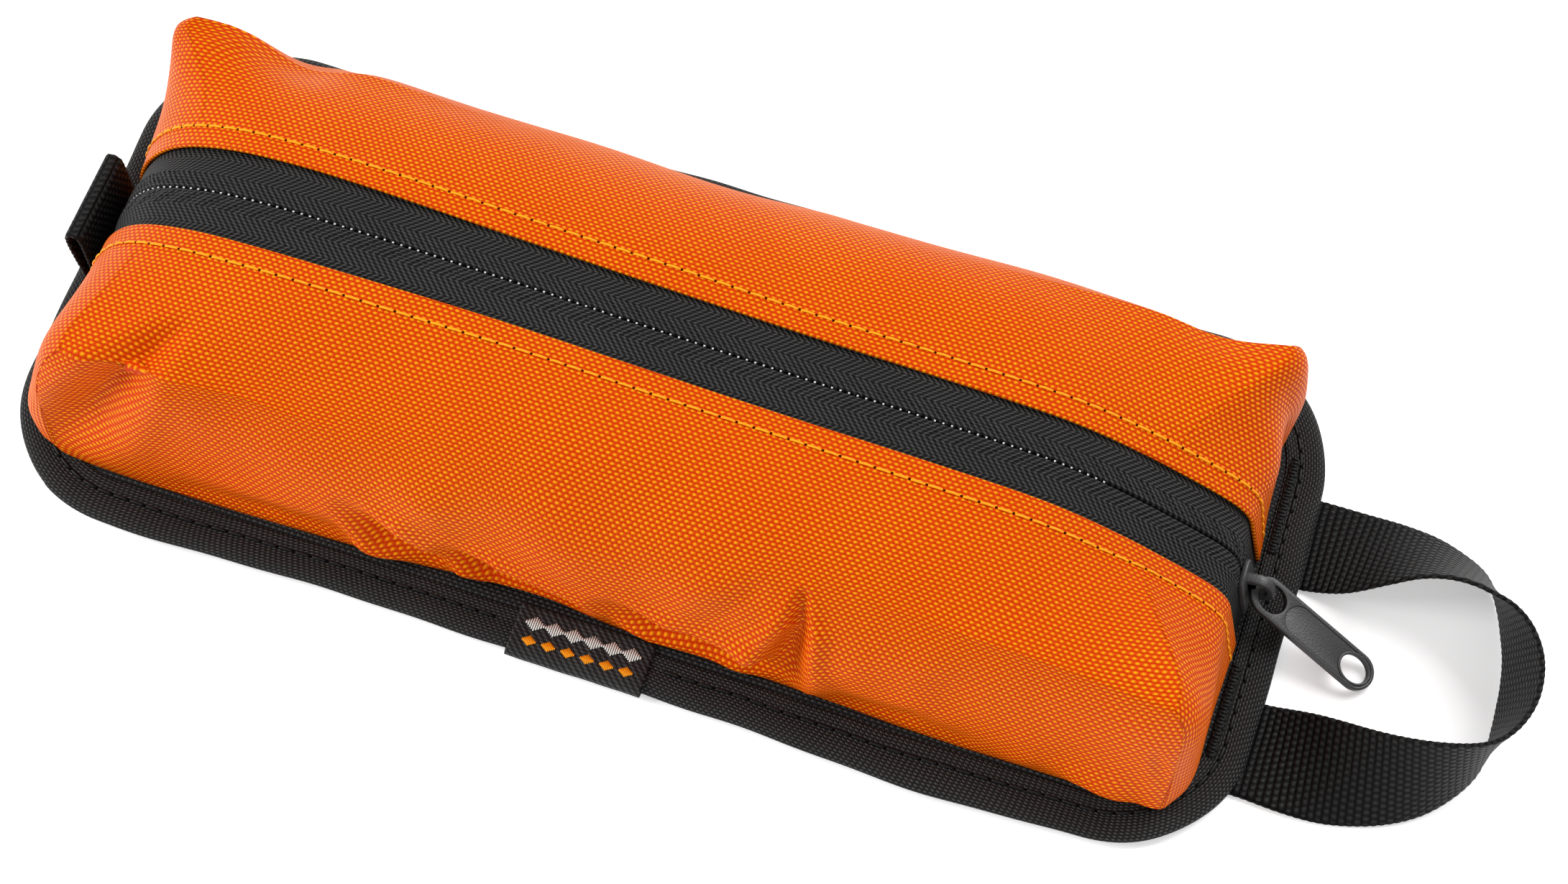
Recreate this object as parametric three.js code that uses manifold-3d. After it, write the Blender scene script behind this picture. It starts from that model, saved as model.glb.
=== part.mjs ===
// Studio weight bag: a sand-filled fabric bag with a zip over the top, a flat base with a bound flange,
// a banked webbing carry loop at one end and a short webbing tab at the other.
// Millimetres, +Z up, +X toward the carry loop, +Y toward the back, origin on the floor under the middle.
import * as THREE from "three";
import { mergeVertices } from "three/addons/utils/BufferGeometryUtils.js";
import Module from "manifold-3d";

const wasm = await Module();
wasm.setup();

// ---- driving dimensions ----
const GAP = 0.3; // clear space kept between neighbouring solids

const BASE_LENGTH = 316;
const BASE_WIDTH = 140;
const BASE_CORNER = 35;
const FLANGE_LIFT = 1.6; // the flange floats above the floor by the thickness of the webbing under it
const BINDING_THICK = 0.6;
const BINDING_WIDE = 10;
const RIM_THICK = 1.0;
const BASE_PAD_INSET = 13; // the part of the base that rests on the floor starts this far inside the rim

const BODY_HALF_LENGTH = 147;
const BODY_HALF_WIDTH = 57;
const BODY_HEIGHT = 50.5;
const BODY_TILT = 2; // how much higher the tab end stands than the middle
const CLOTH_THICK = 1.0;
const SIDE_POWER = 3.8; // roundness of the cross-section, larger is boxier
const HANDLE_END_POWER = 3.4;
const TAB_END_POWER = 5;
const CORNER_POWER = 11;
const TOP_TAPER = 0.07; // share by which the roof is narrower than the base

const ZIP_OPENING = 22; // clear width between the two panels
const TAPE_SPLIT = 1.6; // between the two halves of the zip, room for the slider's post
const TAPE_THICK = 0.8;
const TAPE_RECESS = 1.2;
const COIL_WIDE = 3.2;
const COIL_THICK = 2.4;
const END_LEAN = THREE.MathUtils.degToRad(15); // of the straight stretch of zip at the handle end
const STRAIGHT_TOP = 26; // height where that stretch starts to curve over the top

const SLIDER_LENGTH = 14;
const SLIDER_NOSE = 2.2; // along the zip, from the base seam to the slider's lower end
const PLATE_THICK = 1.4;
const PLATE_WIDE = 9.8;
const POST_WIDE = 1.0;
const BRIDGE_REACH = 6.2;
const BRIDGE_SPAN = 9;
const BRIDGE_BAR = 1.8;
const BRIDGE_WIDE = 2.4;

const PULL_LENGTH = 38;
const PULL_WIDE = 9.6;
const PULL_THICK = 1.8;
const EYE_HALF_LONG = 3.9;
const EYE_HALF_WIDE = 3.5;
const PULL_TURN = THREE.MathUtils.degToRad(-16); // of the pull in plan, away from the bag's long axis

const WEBBING_WIDE = 25;
const WEBBING_THICK = 1.3;
const BACK_LEG = 9; // y of the nearer edge of each leg of the carry loop where it is sewn down
const FRONT_LEG = -48;
const TAIL_LENGTH = 11; // of webbing sewn under the flange, from the flange's edge
const TAB_HEIGHT = 28.6; // middle of the webbing at the top of the folded tab

const LABEL_WIDE = 34;
const LABEL_THICK = 0.4;
const LABEL_X = -1.7;
const LABEL_UPPER = 12.3; // how far its two ends reach in from the flange's edge, above and below
const LABEL_LOWER = 8;

const LINER_INSET = 9;
const LINER_THICK = 0.6;
const LINER_JOIN = 26; // height of the welded seam between the two liner sheets
const STITCH_OUT = 5.5; // topstitching, measured from the zip opening

// ---- levels that follow from them ----
const BINDING_LOW_TOP = FLANGE_LIFT + BINDING_THICK;
const RIM_UNDER = BINDING_LOW_TOP + GAP;
const RIM_TOP = RIM_UNDER + RIM_THICK;
const BINDING_HIGH_UNDER = RIM_TOP + GAP;
const FLANGE_TOP = BINDING_HIGH_UNDER + BINDING_THICK;
const SEAM_Z = FLANGE_TOP + GAP; // lower edge of the panels and of the zip
const HALF_OPENING = ZIP_OPENING / 2;

// ---- materials ----
function cloth(colour, roughness) {
  return new THREE.MeshStandardMaterial({ color: colour, roughness, metalness: 0 });
}
const orangeCloth = cloth(0xf0640f, 0.8);
const blackCloth = cloth(0x17181a, 0.85);
const bindingCloth = cloth(0x1d1e20, 0.8);
const tapeCloth = cloth(0x202224, 0.85);
const coilPlastic = cloth(0x141414, 0.45);
const coatedMetal = new THREE.MeshStandardMaterial({ color: 0x1c1d1f, roughness: 0.5, metalness: 0.3 });
const webbing = cloth(0x1f2022, 0.75);
const orangeThread = cloth(0xf28a12, 0.6);
const blackThread = cloth(0x0e0e0f, 0.6);
const labelCloth = cloth(0x26282a, 0.8);
const linerFilm = cloth(0xb9bcbe, 0.6);
const sandGrain = cloth(0xc9b48a, 0.95);

const group = new THREE.Group();
group.name = "studio_weight_bag";

function addPiece(name, geometry, material) {
  const mesh = new THREE.Mesh(geometry, material);
  mesh.name = name;
  group.add(mesh);
}

// ---- solids ----
function solidOf(geometry) {
  const bare = geometry.index ? geometry.toNonIndexed() : geometry.clone();
  bare.deleteAttribute("normal");
  bare.deleteAttribute("uv");
  const merged = mergeVertices(bare, 1e-4);
  return new wasm.Manifold(
    new wasm.Mesh({
      numProp: 3,
      vertProperties: merged.attributes.position.array,
      triVerts: new Uint32Array(merged.index.array),
    }),
  );
}

function geometryOf(solid) {
  const mesh = solid.getMesh();
  const positions = new Float32Array(mesh.numVert * 3);
  for (let i = 0; i < mesh.numVert; i++) {
    const start = i * mesh.numProp;
    positions.set(mesh.vertProperties.subarray(start, start + 3), i * 3);
  }
  const geometry = new THREE.BufferGeometry();
  geometry.setAttribute("position", new THREE.BufferAttribute(positions, 3));
  geometry.setIndex(new THREE.BufferAttribute(new Uint32Array(mesh.triVerts), 1));
  return geometry;
}

// A box given by its low and high corners.
function block(low, high) {
  const size = high.map((value, axis) => value - low[axis]);
  const geometry = new THREE.BoxGeometry(...size);
  geometry.translate(...low.map((value, axis) => value + size[axis] / 2));
  return solidOf(geometry);
}

function roundedOutline(halfX, halfY, radius) {
  const shape = new THREE.Shape();
  shape.moveTo(halfX, -(halfY - radius));
  shape.lineTo(halfX, halfY - radius);
  shape.absarc(halfX - radius, halfY - radius, radius, 0, Math.PI / 2);
  shape.absarc(-(halfX - radius), halfY - radius, radius, Math.PI / 2, Math.PI);
  shape.absarc(-(halfX - radius), -(halfY - radius), radius, Math.PI, Math.PI * 1.5);
  shape.absarc(halfX - radius, -(halfY - radius), radius, Math.PI * 1.5, Math.PI * 2);
  return shape;
}

// A plate with the outline of the base, drawn in by inset, between two heights.
function basePlate(inset, low, high) {
  const outline = roundedOutline(BASE_LENGTH / 2 - inset, BASE_WIDTH / 2 - inset, BASE_CORNER - inset);
  const geometry = new THREE.ExtrudeGeometry(outline, {
    depth: high - low,
    bevelEnabled: false,
    curveSegments: 10,
  });
  geometry.translate(0, 0, low);
  return solidOf(geometry);
}

// A strip with a rectangular section through stations of centre, half-width vector and half-thickness vector.
function ribbon(stations) {
  const corners = stations.map(({ centre, across, through }) => [
    centre.clone().add(across).add(through),
    centre.clone().sub(across).add(through),
    centre.clone().sub(across).sub(through),
    centre.clone().add(across).sub(through),
  ]);
  const positions = [];
  const quad = (a, b, c, d) => [a, b, c, a, c, d].forEach((p) => positions.push(p.x, p.y, p.z));
  for (let i = 0; i + 1 < corners.length; i++) {
    for (let side = 0; side < 4; side++) {
      const next = (side + 1) % 4;
      quad(corners[i][side], corners[i][next], corners[i + 1][next], corners[i + 1][side]);
    }
  }
  const first = corners[0];
  const last = corners[corners.length - 1];
  quad(first[3], first[2], first[1], first[0]);
  quad(last[0], last[1], last[2], last[3]);
  const geometry = new THREE.BufferGeometry();
  geometry.setAttribute("position", new THREE.Float32BufferAttribute(positions, 3));
  const solid = solidOf(geometry);
  if (solid.volume() > 0) return solid;
  for (let i = 0; i < positions.length; i += 9) {
    for (let k = 0; k < 3; k++) {
      [positions[i + 3 + k], positions[i + 6 + k]] = [positions[i + 6 + k], positions[i + 3 + k]];
    }
  }
  geometry.setAttribute("position", new THREE.Float32BufferAttribute(positions, 3));
  return solidOf(geometry);
}

// ---- the filled body ----
// Height and roundness vary over the bag: the corners stand up in points while the zip sinks between them.
function bodyPoint(u, v, w, inset) {
  const endShare = Math.abs(u) ** 4 * (1 - Math.abs(v) ** 3);
  const cornerShare = Math.abs(u) ** 6 * Math.abs(v) ** 3;
  const endPower = u > 0 ? HANDLE_END_POWER : TAB_END_POWER;
  const edgePower = SIDE_POWER + (endPower - SIDE_POWER) * endShare;
  const power = edgePower + (CORNER_POWER - edgePower) * cornerShare;
  const norm = (Math.abs(u) ** power + Math.abs(v) ** power + Math.abs(w) ** power) ** (1 / power);
  const height = BODY_HEIGHT - BODY_TILT * u - inset;
  const z = (height * w) / norm;
  const taper = 1 - TOP_TAPER * (z / height) ** 3;
  return new THREE.Vector3(
    ((BODY_HALF_LENGTH - inset) * u) / norm,
    (((BODY_HALF_WIDTH - inset) * v) / norm) * taper,
    z,
  );
}

// The body surface drawn in by inset as a closed solid standing on the height given as floor.
function bodySolid(inset, floor, columns, rows, levels) {
  const spread = (i, n) => Math.sin((Math.PI / 2) * ((2 * i) / n - 1));
  const point = (i, j, k) => {
    const p = bodyPoint(spread(i, columns), spread(j, rows), k / levels, inset);
    if (k === 0) p.z = floor;
    return p;
  };
  const positions = [];
  const quad = (a, b, c, d) => [a, b, c, a, c, d].forEach((p) => positions.push(p.x, p.y, p.z));
  const middle = new THREE.Vector3(0, 0, floor);
  const floorWedge = (a, b) => [middle, b, a].forEach((p) => positions.push(p.x, p.y, p.z));
  for (let i = 0; i < columns; i++) {
    floorWedge(point(i, 0, 0), point(i + 1, 0, 0));
    floorWedge(point(i + 1, rows, 0), point(i, rows, 0));
  }
  for (let j = 0; j < rows; j++) {
    floorWedge(point(columns, j, 0), point(columns, j + 1, 0));
    floorWedge(point(0, j + 1, 0), point(0, j, 0));
  }
  for (let i = 0; i < columns; i++) {
    for (let j = 0; j < rows; j++) {
      quad(point(i, j, levels), point(i + 1, j, levels), point(i + 1, j + 1, levels), point(i, j + 1, levels));
    }
  }
  for (let k = 0; k < levels; k++) {
    for (let i = 0; i < columns; i++) {
      quad(point(i, 0, k), point(i + 1, 0, k), point(i + 1, 0, k + 1), point(i, 0, k + 1));
      quad(point(i + 1, rows, k), point(i, rows, k), point(i, rows, k + 1), point(i + 1, rows, k + 1));
    }
    for (let j = 0; j < rows; j++) {
      quad(point(columns, j, k), point(columns, j + 1, k), point(columns, j + 1, k + 1), point(columns, j, k + 1));
      quad(point(0, j + 1, k), point(0, j, k), point(0, j, k + 1), point(0, j + 1, k + 1));
    }
  }
  const geometry = new THREE.BufferGeometry();
  geometry.setAttribute("position", new THREE.Float32BufferAttribute(positions, 3));
  return solidOf(geometry);
}

const FAR = 400; // beyond every edge of the bag
const BELOW = -20; // a floor under everything, for solids used only to cut

function clothShell(outerInset, thickness) {
  const outer = bodySolid(outerInset, BELOW, 26, 14, 5);
  const inner = bodySolid(outerInset + thickness, BELOW - 5, 26, 14, 5);
  return outer.subtract(inner).intersect(block([-FAR, -FAR, SEAM_Z], [FAR, FAR, FAR]));
}

const panels = clothShell(0, CLOTH_THICK);
const frontSide = block([-FAR, -FAR, 0], [FAR, -HALF_OPENING, FAR]);
const backSide = block([-FAR, HALF_OPENING, 0], [FAR, FAR, FAR]);
addPiece("front_panel", geometryOf(panels.intersect(frontSide)), orangeCloth);
addPiece("back_panel", geometryOf(panels.intersect(backSide)), orangeCloth);

// Topstitching runs along each panel just outside the zip opening.
const stitchSkin = clothShell(-0.7, 0.4);
const stitchNear = HALF_OPENING + STITCH_OUT;
for (const [name, side] of [["topstitch_front", -1], ["topstitch_back", 1]]) {
  const near = side * stitchNear;
  const far = side * (stitchNear + 0.8);
  const strip = block([-FAR, Math.min(near, far), SEAM_Z + 4], [FAR, Math.max(near, far), FAR]);
  addPiece(name, geometryOf(stitchSkin.intersect(strip)), orangeThread);
}

// ---- base, binding and its stitching ----
const basePad = basePlate(BASE_PAD_INSET, 0, RIM_TOP);
const baseRim = basePlate(BINDING_THICK + GAP, RIM_UNDER, RIM_TOP);
addPiece("base_panel", geometryOf(basePad.add(baseRim)), blackCloth);

const bindingOutside = basePlate(0, FLANGE_LIFT, FLANGE_TOP);
const bindingHole = basePlate(BINDING_WIDE, 0, FLANGE_TOP + 1);
const bindingSlot = basePlate(BINDING_THICK, BINDING_LOW_TOP, BINDING_HIGH_UNDER);
addPiece("edge_binding", geometryOf(bindingOutside.subtract(bindingHole).subtract(bindingSlot)), bindingCloth);

const stitchLow = FLANGE_TOP + GAP;
const stitchOuter = basePlate(6.2, stitchLow, stitchLow + 0.35);
const stitchInner = basePlate(7, 0, FLANGE_TOP + 5);
const labelHalf = LABEL_WIDE / 2;
const labelRoom = block(
  [LABEL_X - labelHalf - GAP, -BASE_WIDTH, 0],
  [LABEL_X + labelHalf + GAP, 0, FLANGE_TOP + 5],
);
const tabRoom = block([-FAR, -WEBBING_WIDE / 2 - GAP, 0], [0, WEBBING_WIDE / 2 + GAP, FLANGE_TOP + 5]);
const stitchRow = stitchOuter.subtract(stitchInner).subtract(labelRoom).subtract(tabRoom);

// The row breaks under the tab and at the label, so it is two runs: round the back, and round the front
// with the label between its halves.
const stitchRuns = stitchRow.decompose().sort((a, b) => b.volume() - a.volume());
stitchRuns.forEach((run, i) => addPiece("binding_stitch_" + (i + 1), geometryOf(run), blackThread));

// ---- the zip ----
const along = new THREE.Vector3(-Math.sin(END_LEAN), 0, Math.cos(END_LEAN)); // up the straight stretch
const outward = new THREE.Vector3(Math.cos(END_LEAN), 0, Math.sin(END_LEAN));
const zipFoot = new THREE.Vector3(BODY_HALF_LENGTH - 0.6, 0, SEAM_Z);
const straightLength = (STRAIGHT_TOP - SEAM_Z) / Math.cos(END_LEAN);

// Centre line of the zip's outer face, from the handle end over the top to the tab end.
function zipLine() {
  const line = [];
  const straightSteps = 10; // close points keep the stretch straight right up to its top
  for (let i = 0; i <= straightSteps; i++) {
    line.push(zipFoot.clone().addScaledVector(along, (straightLength * i) / straightSteps));
  }
  for (const u of [0.92, 0.84, 0.74, 0.6, 0.4, 0.2, 0, -0.2, -0.4, -0.6, -0.75, -0.87, -0.95]) {
    line.push(bodyPoint(u, 0, 1, TAPE_RECESS));
  }
  for (const w of [0.9, 0.75, 0.55, 0.35]) {
    line.push(bodyPoint(-1, 0, w, TAPE_RECESS));
  }
  const foot = bodyPoint(-1, 0, 0.2, TAPE_RECESS);
  foot.z = SEAM_Z;
  line.push(foot);
  return new THREE.CatmullRomCurve3(line, false, "centripetal");
}
const zipCurve = zipLine();

// A strip that follows the zip, between two offsets across it and two depths below its outer face.
function zipStrip(near, far, shallow, deep, start, end, steps = 60) {
  const stations = [];
  for (let i = 0; i <= steps; i++) {
    const t = start + ((end - start) * i) / steps;
    const tangent = zipCurve.getTangentAt(t);
    const normal = new THREE.Vector3(tangent.z, 0, -tangent.x);
    stations.push({
      centre: zipCurve.getPointAt(t)
        .addScaledVector(normal, -(shallow + deep) / 2)
        .add(new THREE.Vector3(0, (near + far) / 2, 0)),
      across: new THREE.Vector3(0, Math.abs(far - near) / 2, 0),
      through: normal.multiplyScalar((deep - shallow) / 2),
    });
  }
  return ribbon(stations);
}

const tapeNear = TAPE_SPLIT / 2;
const tapeFar = HALF_OPENING - GAP;
const coilTop = TAPE_THICK + 2 * GAP;
const coilDeep = coilTop + COIL_THICK;
const zipLength = zipCurve.getLength();
const stopLength = 1.8;
const tabStopAt = 1 - 6 / zipLength;
const coilStart = (stopLength + 2 * GAP) / zipLength;
const coilEnd = tabStopAt - GAP / zipLength;
for (const [name, side] of [["front", -1], ["back", 1]]) {
  const tape = zipStrip(side * tapeNear, side * tapeFar, 0, TAPE_THICK, 0, 1);
  const coil = zipStrip(side * tapeNear, side * (tapeNear + COIL_WIDE), coilTop, coilDeep, coilStart, coilEnd);
  addPiece("zip_tape_" + name, geometryOf(tape), tapeCloth);
  addPiece("zip_coil_" + name, geometryOf(coil), coilPlastic);
}

// End stops clamp both rows of coil inside the bag.
function endStop(start, end) {
  const reach = tapeNear + COIL_WIDE;
  return zipStrip(-reach, reach, coilTop, coilDeep, start, end, 2);
}
addPiece("zip_stop_handle_end", geometryOf(endStop(GAP / zipLength, (GAP + stopLength) / zipLength)), coatedMetal);
addPiece("zip_stop_tab_end", geometryOf(endStop(tabStopAt, tabStopAt + stopLength / zipLength)), coatedMetal);

// ---- slider, in its own frame: x out of the bag, y across the zip, z up the zip ----
const toSlider = new THREE.Matrix4().makeBasis(outward, new THREE.Vector3(0, 1, 0), along).setPosition(zipFoot);

function placed(solid, matrix) {
  const geometry = geometryOf(solid);
  geometry.applyMatrix4(matrix);
  return solidOf(geometry);
}

const sliderLow = SLIDER_NOSE;
const sliderHigh = SLIDER_NOSE + SLIDER_LENGTH;
const bridgeMiddle = (sliderLow + sliderHigh) / 2 - 0.5;

// A plate that narrows toward its upper end, as the outline of a zip slider does.
function sliderPlate(low, high) {
  const wide = PLATE_WIDE / 2;
  const shape = new THREE.Shape();
  shape.moveTo(-wide + 1.2, sliderLow);
  shape.lineTo(wide - 1.2, sliderLow);
  shape.lineTo(wide, sliderLow + 1.4);
  shape.lineTo(wide, sliderLow + 5);
  shape.lineTo(wide - 1.1, sliderHigh);
  shape.lineTo(-wide + 1.1, sliderHigh);
  shape.lineTo(-wide, sliderLow + 5);
  shape.lineTo(-wide, sliderLow + 1.4);
  const geometry = new THREE.ExtrudeGeometry(shape, { depth: high - low, bevelEnabled: false });
  // The drawing's x, y and depth become the slider's y, z and x.
  const turn = new THREE.Matrix4().makeBasis(
    new THREE.Vector3(0, 1, 0),
    new THREE.Vector3(0, 0, 1),
    new THREE.Vector3(1, 0, 0),
  );
  geometry.applyMatrix4(turn);
  geometry.translate(low, 0, 0);
  return solidOf(geometry);
}

const plateLow = GAP;
const plateHigh = GAP + PLATE_THICK;
const innerPlateHigh = -(coilDeep + GAP);
const innerPlateLow = innerPlateHigh - PLATE_THICK;
const post = block(
  [innerPlateLow + 0.5, -POST_WIDE / 2, sliderLow + 0.4],
  [plateHigh - 0.5, POST_WIDE / 2, sliderLow + 4.4],
);

// The bridge the pull hangs on: an arch standing on the outer plate.
function bridgeArch() {
  const low = bridgeMiddle - BRIDGE_SPAN / 2;
  const high = bridgeMiddle + BRIDGE_SPAN / 2;
  const top = plateHigh + BRIDGE_REACH;
  const foot = plateHigh - 0.4;
  const shape = new THREE.Shape();
  shape.moveTo(foot, low);
  shape.lineTo(top - 2, low);
  shape.lineTo(top, low + 2);
  shape.lineTo(top, high - 2);
  shape.lineTo(top - 2, high);
  shape.lineTo(foot, high);
  const room = new THREE.Path();
  room.moveTo(foot + 0.4, low + BRIDGE_BAR);
  room.lineTo(foot + 0.4, high - BRIDGE_BAR);
  room.lineTo(top - BRIDGE_BAR - 0.6, high - BRIDGE_BAR);
  room.lineTo(top - BRIDGE_BAR, high - BRIDGE_BAR - 0.6);
  room.lineTo(top - BRIDGE_BAR, low + BRIDGE_BAR + 0.6);
  room.lineTo(top - BRIDGE_BAR - 0.6, low + BRIDGE_BAR);
  shape.holes.push(room);
  const geometry = new THREE.ExtrudeGeometry(shape, { depth: BRIDGE_WIDE, bevelEnabled: false });
  // The drawing's x, y and depth become the slider's x, z and -y.
  const turn = new THREE.Matrix4().makeBasis(
    new THREE.Vector3(1, 0, 0),
    new THREE.Vector3(0, 0, 1),
    new THREE.Vector3(0, -1, 0),
  );
  geometry.applyMatrix4(turn);
  geometry.translate(0, BRIDGE_WIDE / 2, 0);
  return solidOf(geometry);
}
const sliderLocal = sliderPlate(plateLow, plateHigh)
  .add(sliderPlate(innerPlateLow, innerPlateHigh))
  .add(post)
  .add(bridgeArch());
addPiece("slider_body", geometryOf(placed(sliderLocal, toSlider)), coatedMetal);

// ---- pull tab: its end bar lies inside the bridge and its tip rests on the floor ----
const endBar = 1; // half of the bar inside the bridge
const pivotOut = plateHigh + endBar + 2 * GAP;
const pivot = new THREE.Vector3(pivotOut, 0, bridgeMiddle).applyMatrix4(toSlider);
const tipReach = PULL_LENGTH - endBar;
const pullSlope = Math.asin((pivot.z - PULL_THICK / 2 - 0.2) / tipReach);

function pullOutline() {
  const half = PULL_WIDE / 2;
  const shape = new THREE.Shape();
  const eyeCentre = half - endBar;
  const tipCentre = tipReach - half;
  shape.moveTo(tipCentre, -half);
  shape.absarc(tipCentre, 0, half, -Math.PI / 2, Math.PI / 2);
  shape.lineTo(eyeCentre, half);
  shape.absarc(eyeCentre, 0, half, Math.PI / 2, Math.PI * 1.5);
  const eye = new THREE.Path();
  eye.absellipse(endBar + EYE_HALF_LONG, 0, EYE_HALF_LONG, EYE_HALF_WIDE, 0, Math.PI * 2, true);
  const hole = new THREE.Path();
  hole.absellipse(tipCentre - 0.7, 0, 4, 3.3, 0, Math.PI * 2, true);
  shape.holes.push(eye, hole);
  return shape;
}
const pullGeometry = new THREE.ExtrudeGeometry(pullOutline(), {
  depth: PULL_THICK,
  bevelEnabled: false,
  curveSegments: 10,
});
pullGeometry.translate(0, 0, -PULL_THICK / 2);
pullGeometry.rotateY(pullSlope);
pullGeometry.rotateZ(PULL_TURN);
pullGeometry.translate(pivot.x, pivot.y, pivot.z);
addPiece("pull_tab", geometryOf(solidOf(pullGeometry)), coatedMetal);

// ---- webbing ----
// The carry loop lies flat where it leaves the flange. Round the bend it stands on its outer edge, while
// its inner edge rises and leans outward. Each station is the inner edge, which rises, and the outer one.
const FLAT = 0.8; // height of the middle of the webbing where it lies on the floor
const LOOP_START = BASE_LENGTH / 2 + 1.2; // clear of the flange, so the loop can turn up beside it
const loopEdges = [
  { inner: [LOOP_START, BACK_LEG, FLAT], outer: [LOOP_START, BACK_LEG + WEBBING_WIDE, FLAT] },
  { inner: [168.5, 9.7, 4.7], outer: [171.5, 34.2, FLAT] },
  { inner: [177.6, 12.1, 11.8], outer: [181.6, 34.2, FLAT] },
  { inner: [184.1, 14.2, 16.1], outer: [189.1, 33.3, FLAT] },
  { inner: [190.3, 15, 19.1], outer: [196, 31, FLAT] },
  { inner: [196.1, 14.5, 21.1], outer: [200.8, 28.4, FLAT] },
  { inner: [201.3, 12.9, 22.6], outer: [203.9, 24.8, FLAT] },
  { inner: [206.3, 10.6, 24.1], outer: [206.5, 19.6, FLAT] },
  { inner: [210.8, 6.9, 24.6], outer: [208.7, 13.3, FLAT] },
  { inner: [214.4, 1.2, 24.8], outer: [210.4, 6.9, FLAT] },
  { inner: [216, -5, 24.8], outer: [211.3, 0, FLAT] },
  { inner: [215.9, -11.8, 24.8], outer: [211.5, -6.1, FLAT] },
  { inner: [213.8, -18.2, 24.8], outer: [211.6, -11.9, FLAT] },
  { inner: [210.2, -23.4, 24.8], outer: [211.4, -17.6, FLAT] },
  { inner: [205.5, -26.6, 24.8], outer: [209.6, -24.9, FLAT] },
  { inner: [199.3, -28.6, 24.3], outer: [205.3, -32, FLAT] },
  { inner: [192.2, -29.4, 22.6], outer: [198.9, -38.7, FLAT] },
  { inner: [184.2, -29, 19.3], outer: [190.4, -43.7, FLAT] },
  { inner: [175.8, -27.4, 13.6], outer: [180, -46.6, FLAT] },
  { inner: [167, -24.6, 6.2], outer: [169.4, -47.9, FLAT] },
  { inner: [LOOP_START, FRONT_LEG + WEBBING_WIDE, FLAT], outer: [LOOP_START, FRONT_LEG, FLAT] },
];

function loopStations() {
  const toVector = (p) => new THREE.Vector3(...p);
  const innerEdge = new THREE.CatmullRomCurve3(loopEdges.map((e) => toVector(e.inner)));
  const outerEdge = new THREE.CatmullRomCurve3(loopEdges.map((e) => toVector(e.outer)));
  const steps = 60;
  const stations = [];
  for (let i = 0; i <= steps; i++) {
    const t = i / steps;
    const inner = innerEdge.getPoint(t);
    const outer = outerEdge.getPoint(t);
    const centre = inner.clone().add(outer).multiplyScalar(0.5);
    const across = inner.clone().sub(outer).normalize().multiplyScalar(WEBBING_WIDE / 2);
    const travel = innerEdge.getTangent(t).add(outerEdge.getTangent(t));
    const through = new THREE.Vector3().crossVectors(across, travel).normalize();
    stations.push({ centre, across, through: through.multiplyScalar(WEBBING_THICK / 2) });
  }
  return stations;
}
addPiece("handle_strap", geometryOf(ribbon(loopStations())), webbing);

// The two ends of the same webbing, sewn flat under the flange. They stop short of the loop by half the
// webbing's thickness, which is the room its root takes when the loop is turned up.
const tailHigh = FLAT + WEBBING_THICK / 2;
const tailLow = FLAT - WEBBING_THICK / 2;
const tailOut = LOOP_START - WEBBING_THICK / 2 - GAP;
const tailIn = BASE_LENGTH / 2 - TAIL_LENGTH;
for (const [name, leg] of [["handle_tail_back", BACK_LEG], ["handle_tail_front", FRONT_LEG]]) {
  const tail = block([tailIn, leg, tailLow], [tailOut, leg + WEBBING_WIDE, tailHigh]);
  addPiece(name, geometryOf(tail), webbing);
}

// Dense rows of zigzag stitching hold each end, between the body and the flange's row of stitches.
const bartackHigh = stitchLow + 0.5;
const bartackBack = block([148.4, BACK_LEG + 5, stitchLow], [150.4, BACK_LEG + 32, bartackHigh]);
const bartackFront = block([147.8, FRONT_LEG + 6, stitchLow], [149.6, FRONT_LEG + 31, bartackHigh]);
addPiece("handle_bartack_back", geometryOf(bartackBack), blackThread);
addPiece("handle_bartack_front", geometryOf(bartackFront), blackThread);

// The tab: webbing folded double, standing beside the lower end of the zip.
function tabStations() {
  const foot = FLANGE_TOP + GAP;
  const nearTop = TAB_HEIGHT - 1.1;
  const path = [
    [-149.1, foot], [-149.2, 10], [-149.6, 17], [-149.9, 23.5], [-150.4, nearTop], [-152, TAB_HEIGHT],
    [-153.6, nearTop], [-153.8, 23.5], [-153.1, 17], [-152.1, 10], [-151.4, foot],
  ].map(([x, z]) => new THREE.Vector3(x, 0, z));
  const curve = new THREE.CatmullRomCurve3(path);
  const steps = 26;
  const stations = [];
  for (let i = 0; i <= steps; i++) {
    const tangent = curve.getTangent(i / steps);
    const through = new THREE.Vector3(tangent.z, 0, -tangent.x).multiplyScalar(WEBBING_THICK / 2);
    stations.push({
      centre: curve.getPoint(i / steps),
      across: new THREE.Vector3(0, WEBBING_WIDE / 2, 0),
      through,
    });
  }
  return stations;
}
addPiece("end_tab_loop", geometryOf(ribbon(tabStations())), webbing);

// ---- label folded over the front edge of the flange ----
const labelTop = FLANGE_TOP + GAP;
const labelUnder = FLANGE_LIFT - GAP;
const flangeFront = -BASE_WIDTH / 2;
const labelOutside = block(
  [LABEL_X - labelHalf, flangeFront - GAP - LABEL_THICK, labelUnder - LABEL_THICK],
  [LABEL_X + labelHalf, flangeFront + LABEL_UPPER, labelTop + LABEL_THICK],
);
const labelInside = block(
  [LABEL_X - labelHalf - 1, flangeFront - GAP, labelUnder],
  [LABEL_X + labelHalf + 1, 0, labelTop],
);
const labelShort = block(
  [LABEL_X - labelHalf - 1, flangeFront + LABEL_LOWER, 0],
  [LABEL_X + labelHalf + 1, 0, labelUnder + 1],
);
addPiece("woven_label", geometryOf(labelOutside.subtract(labelInside).subtract(labelShort)), labelCloth);

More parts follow.
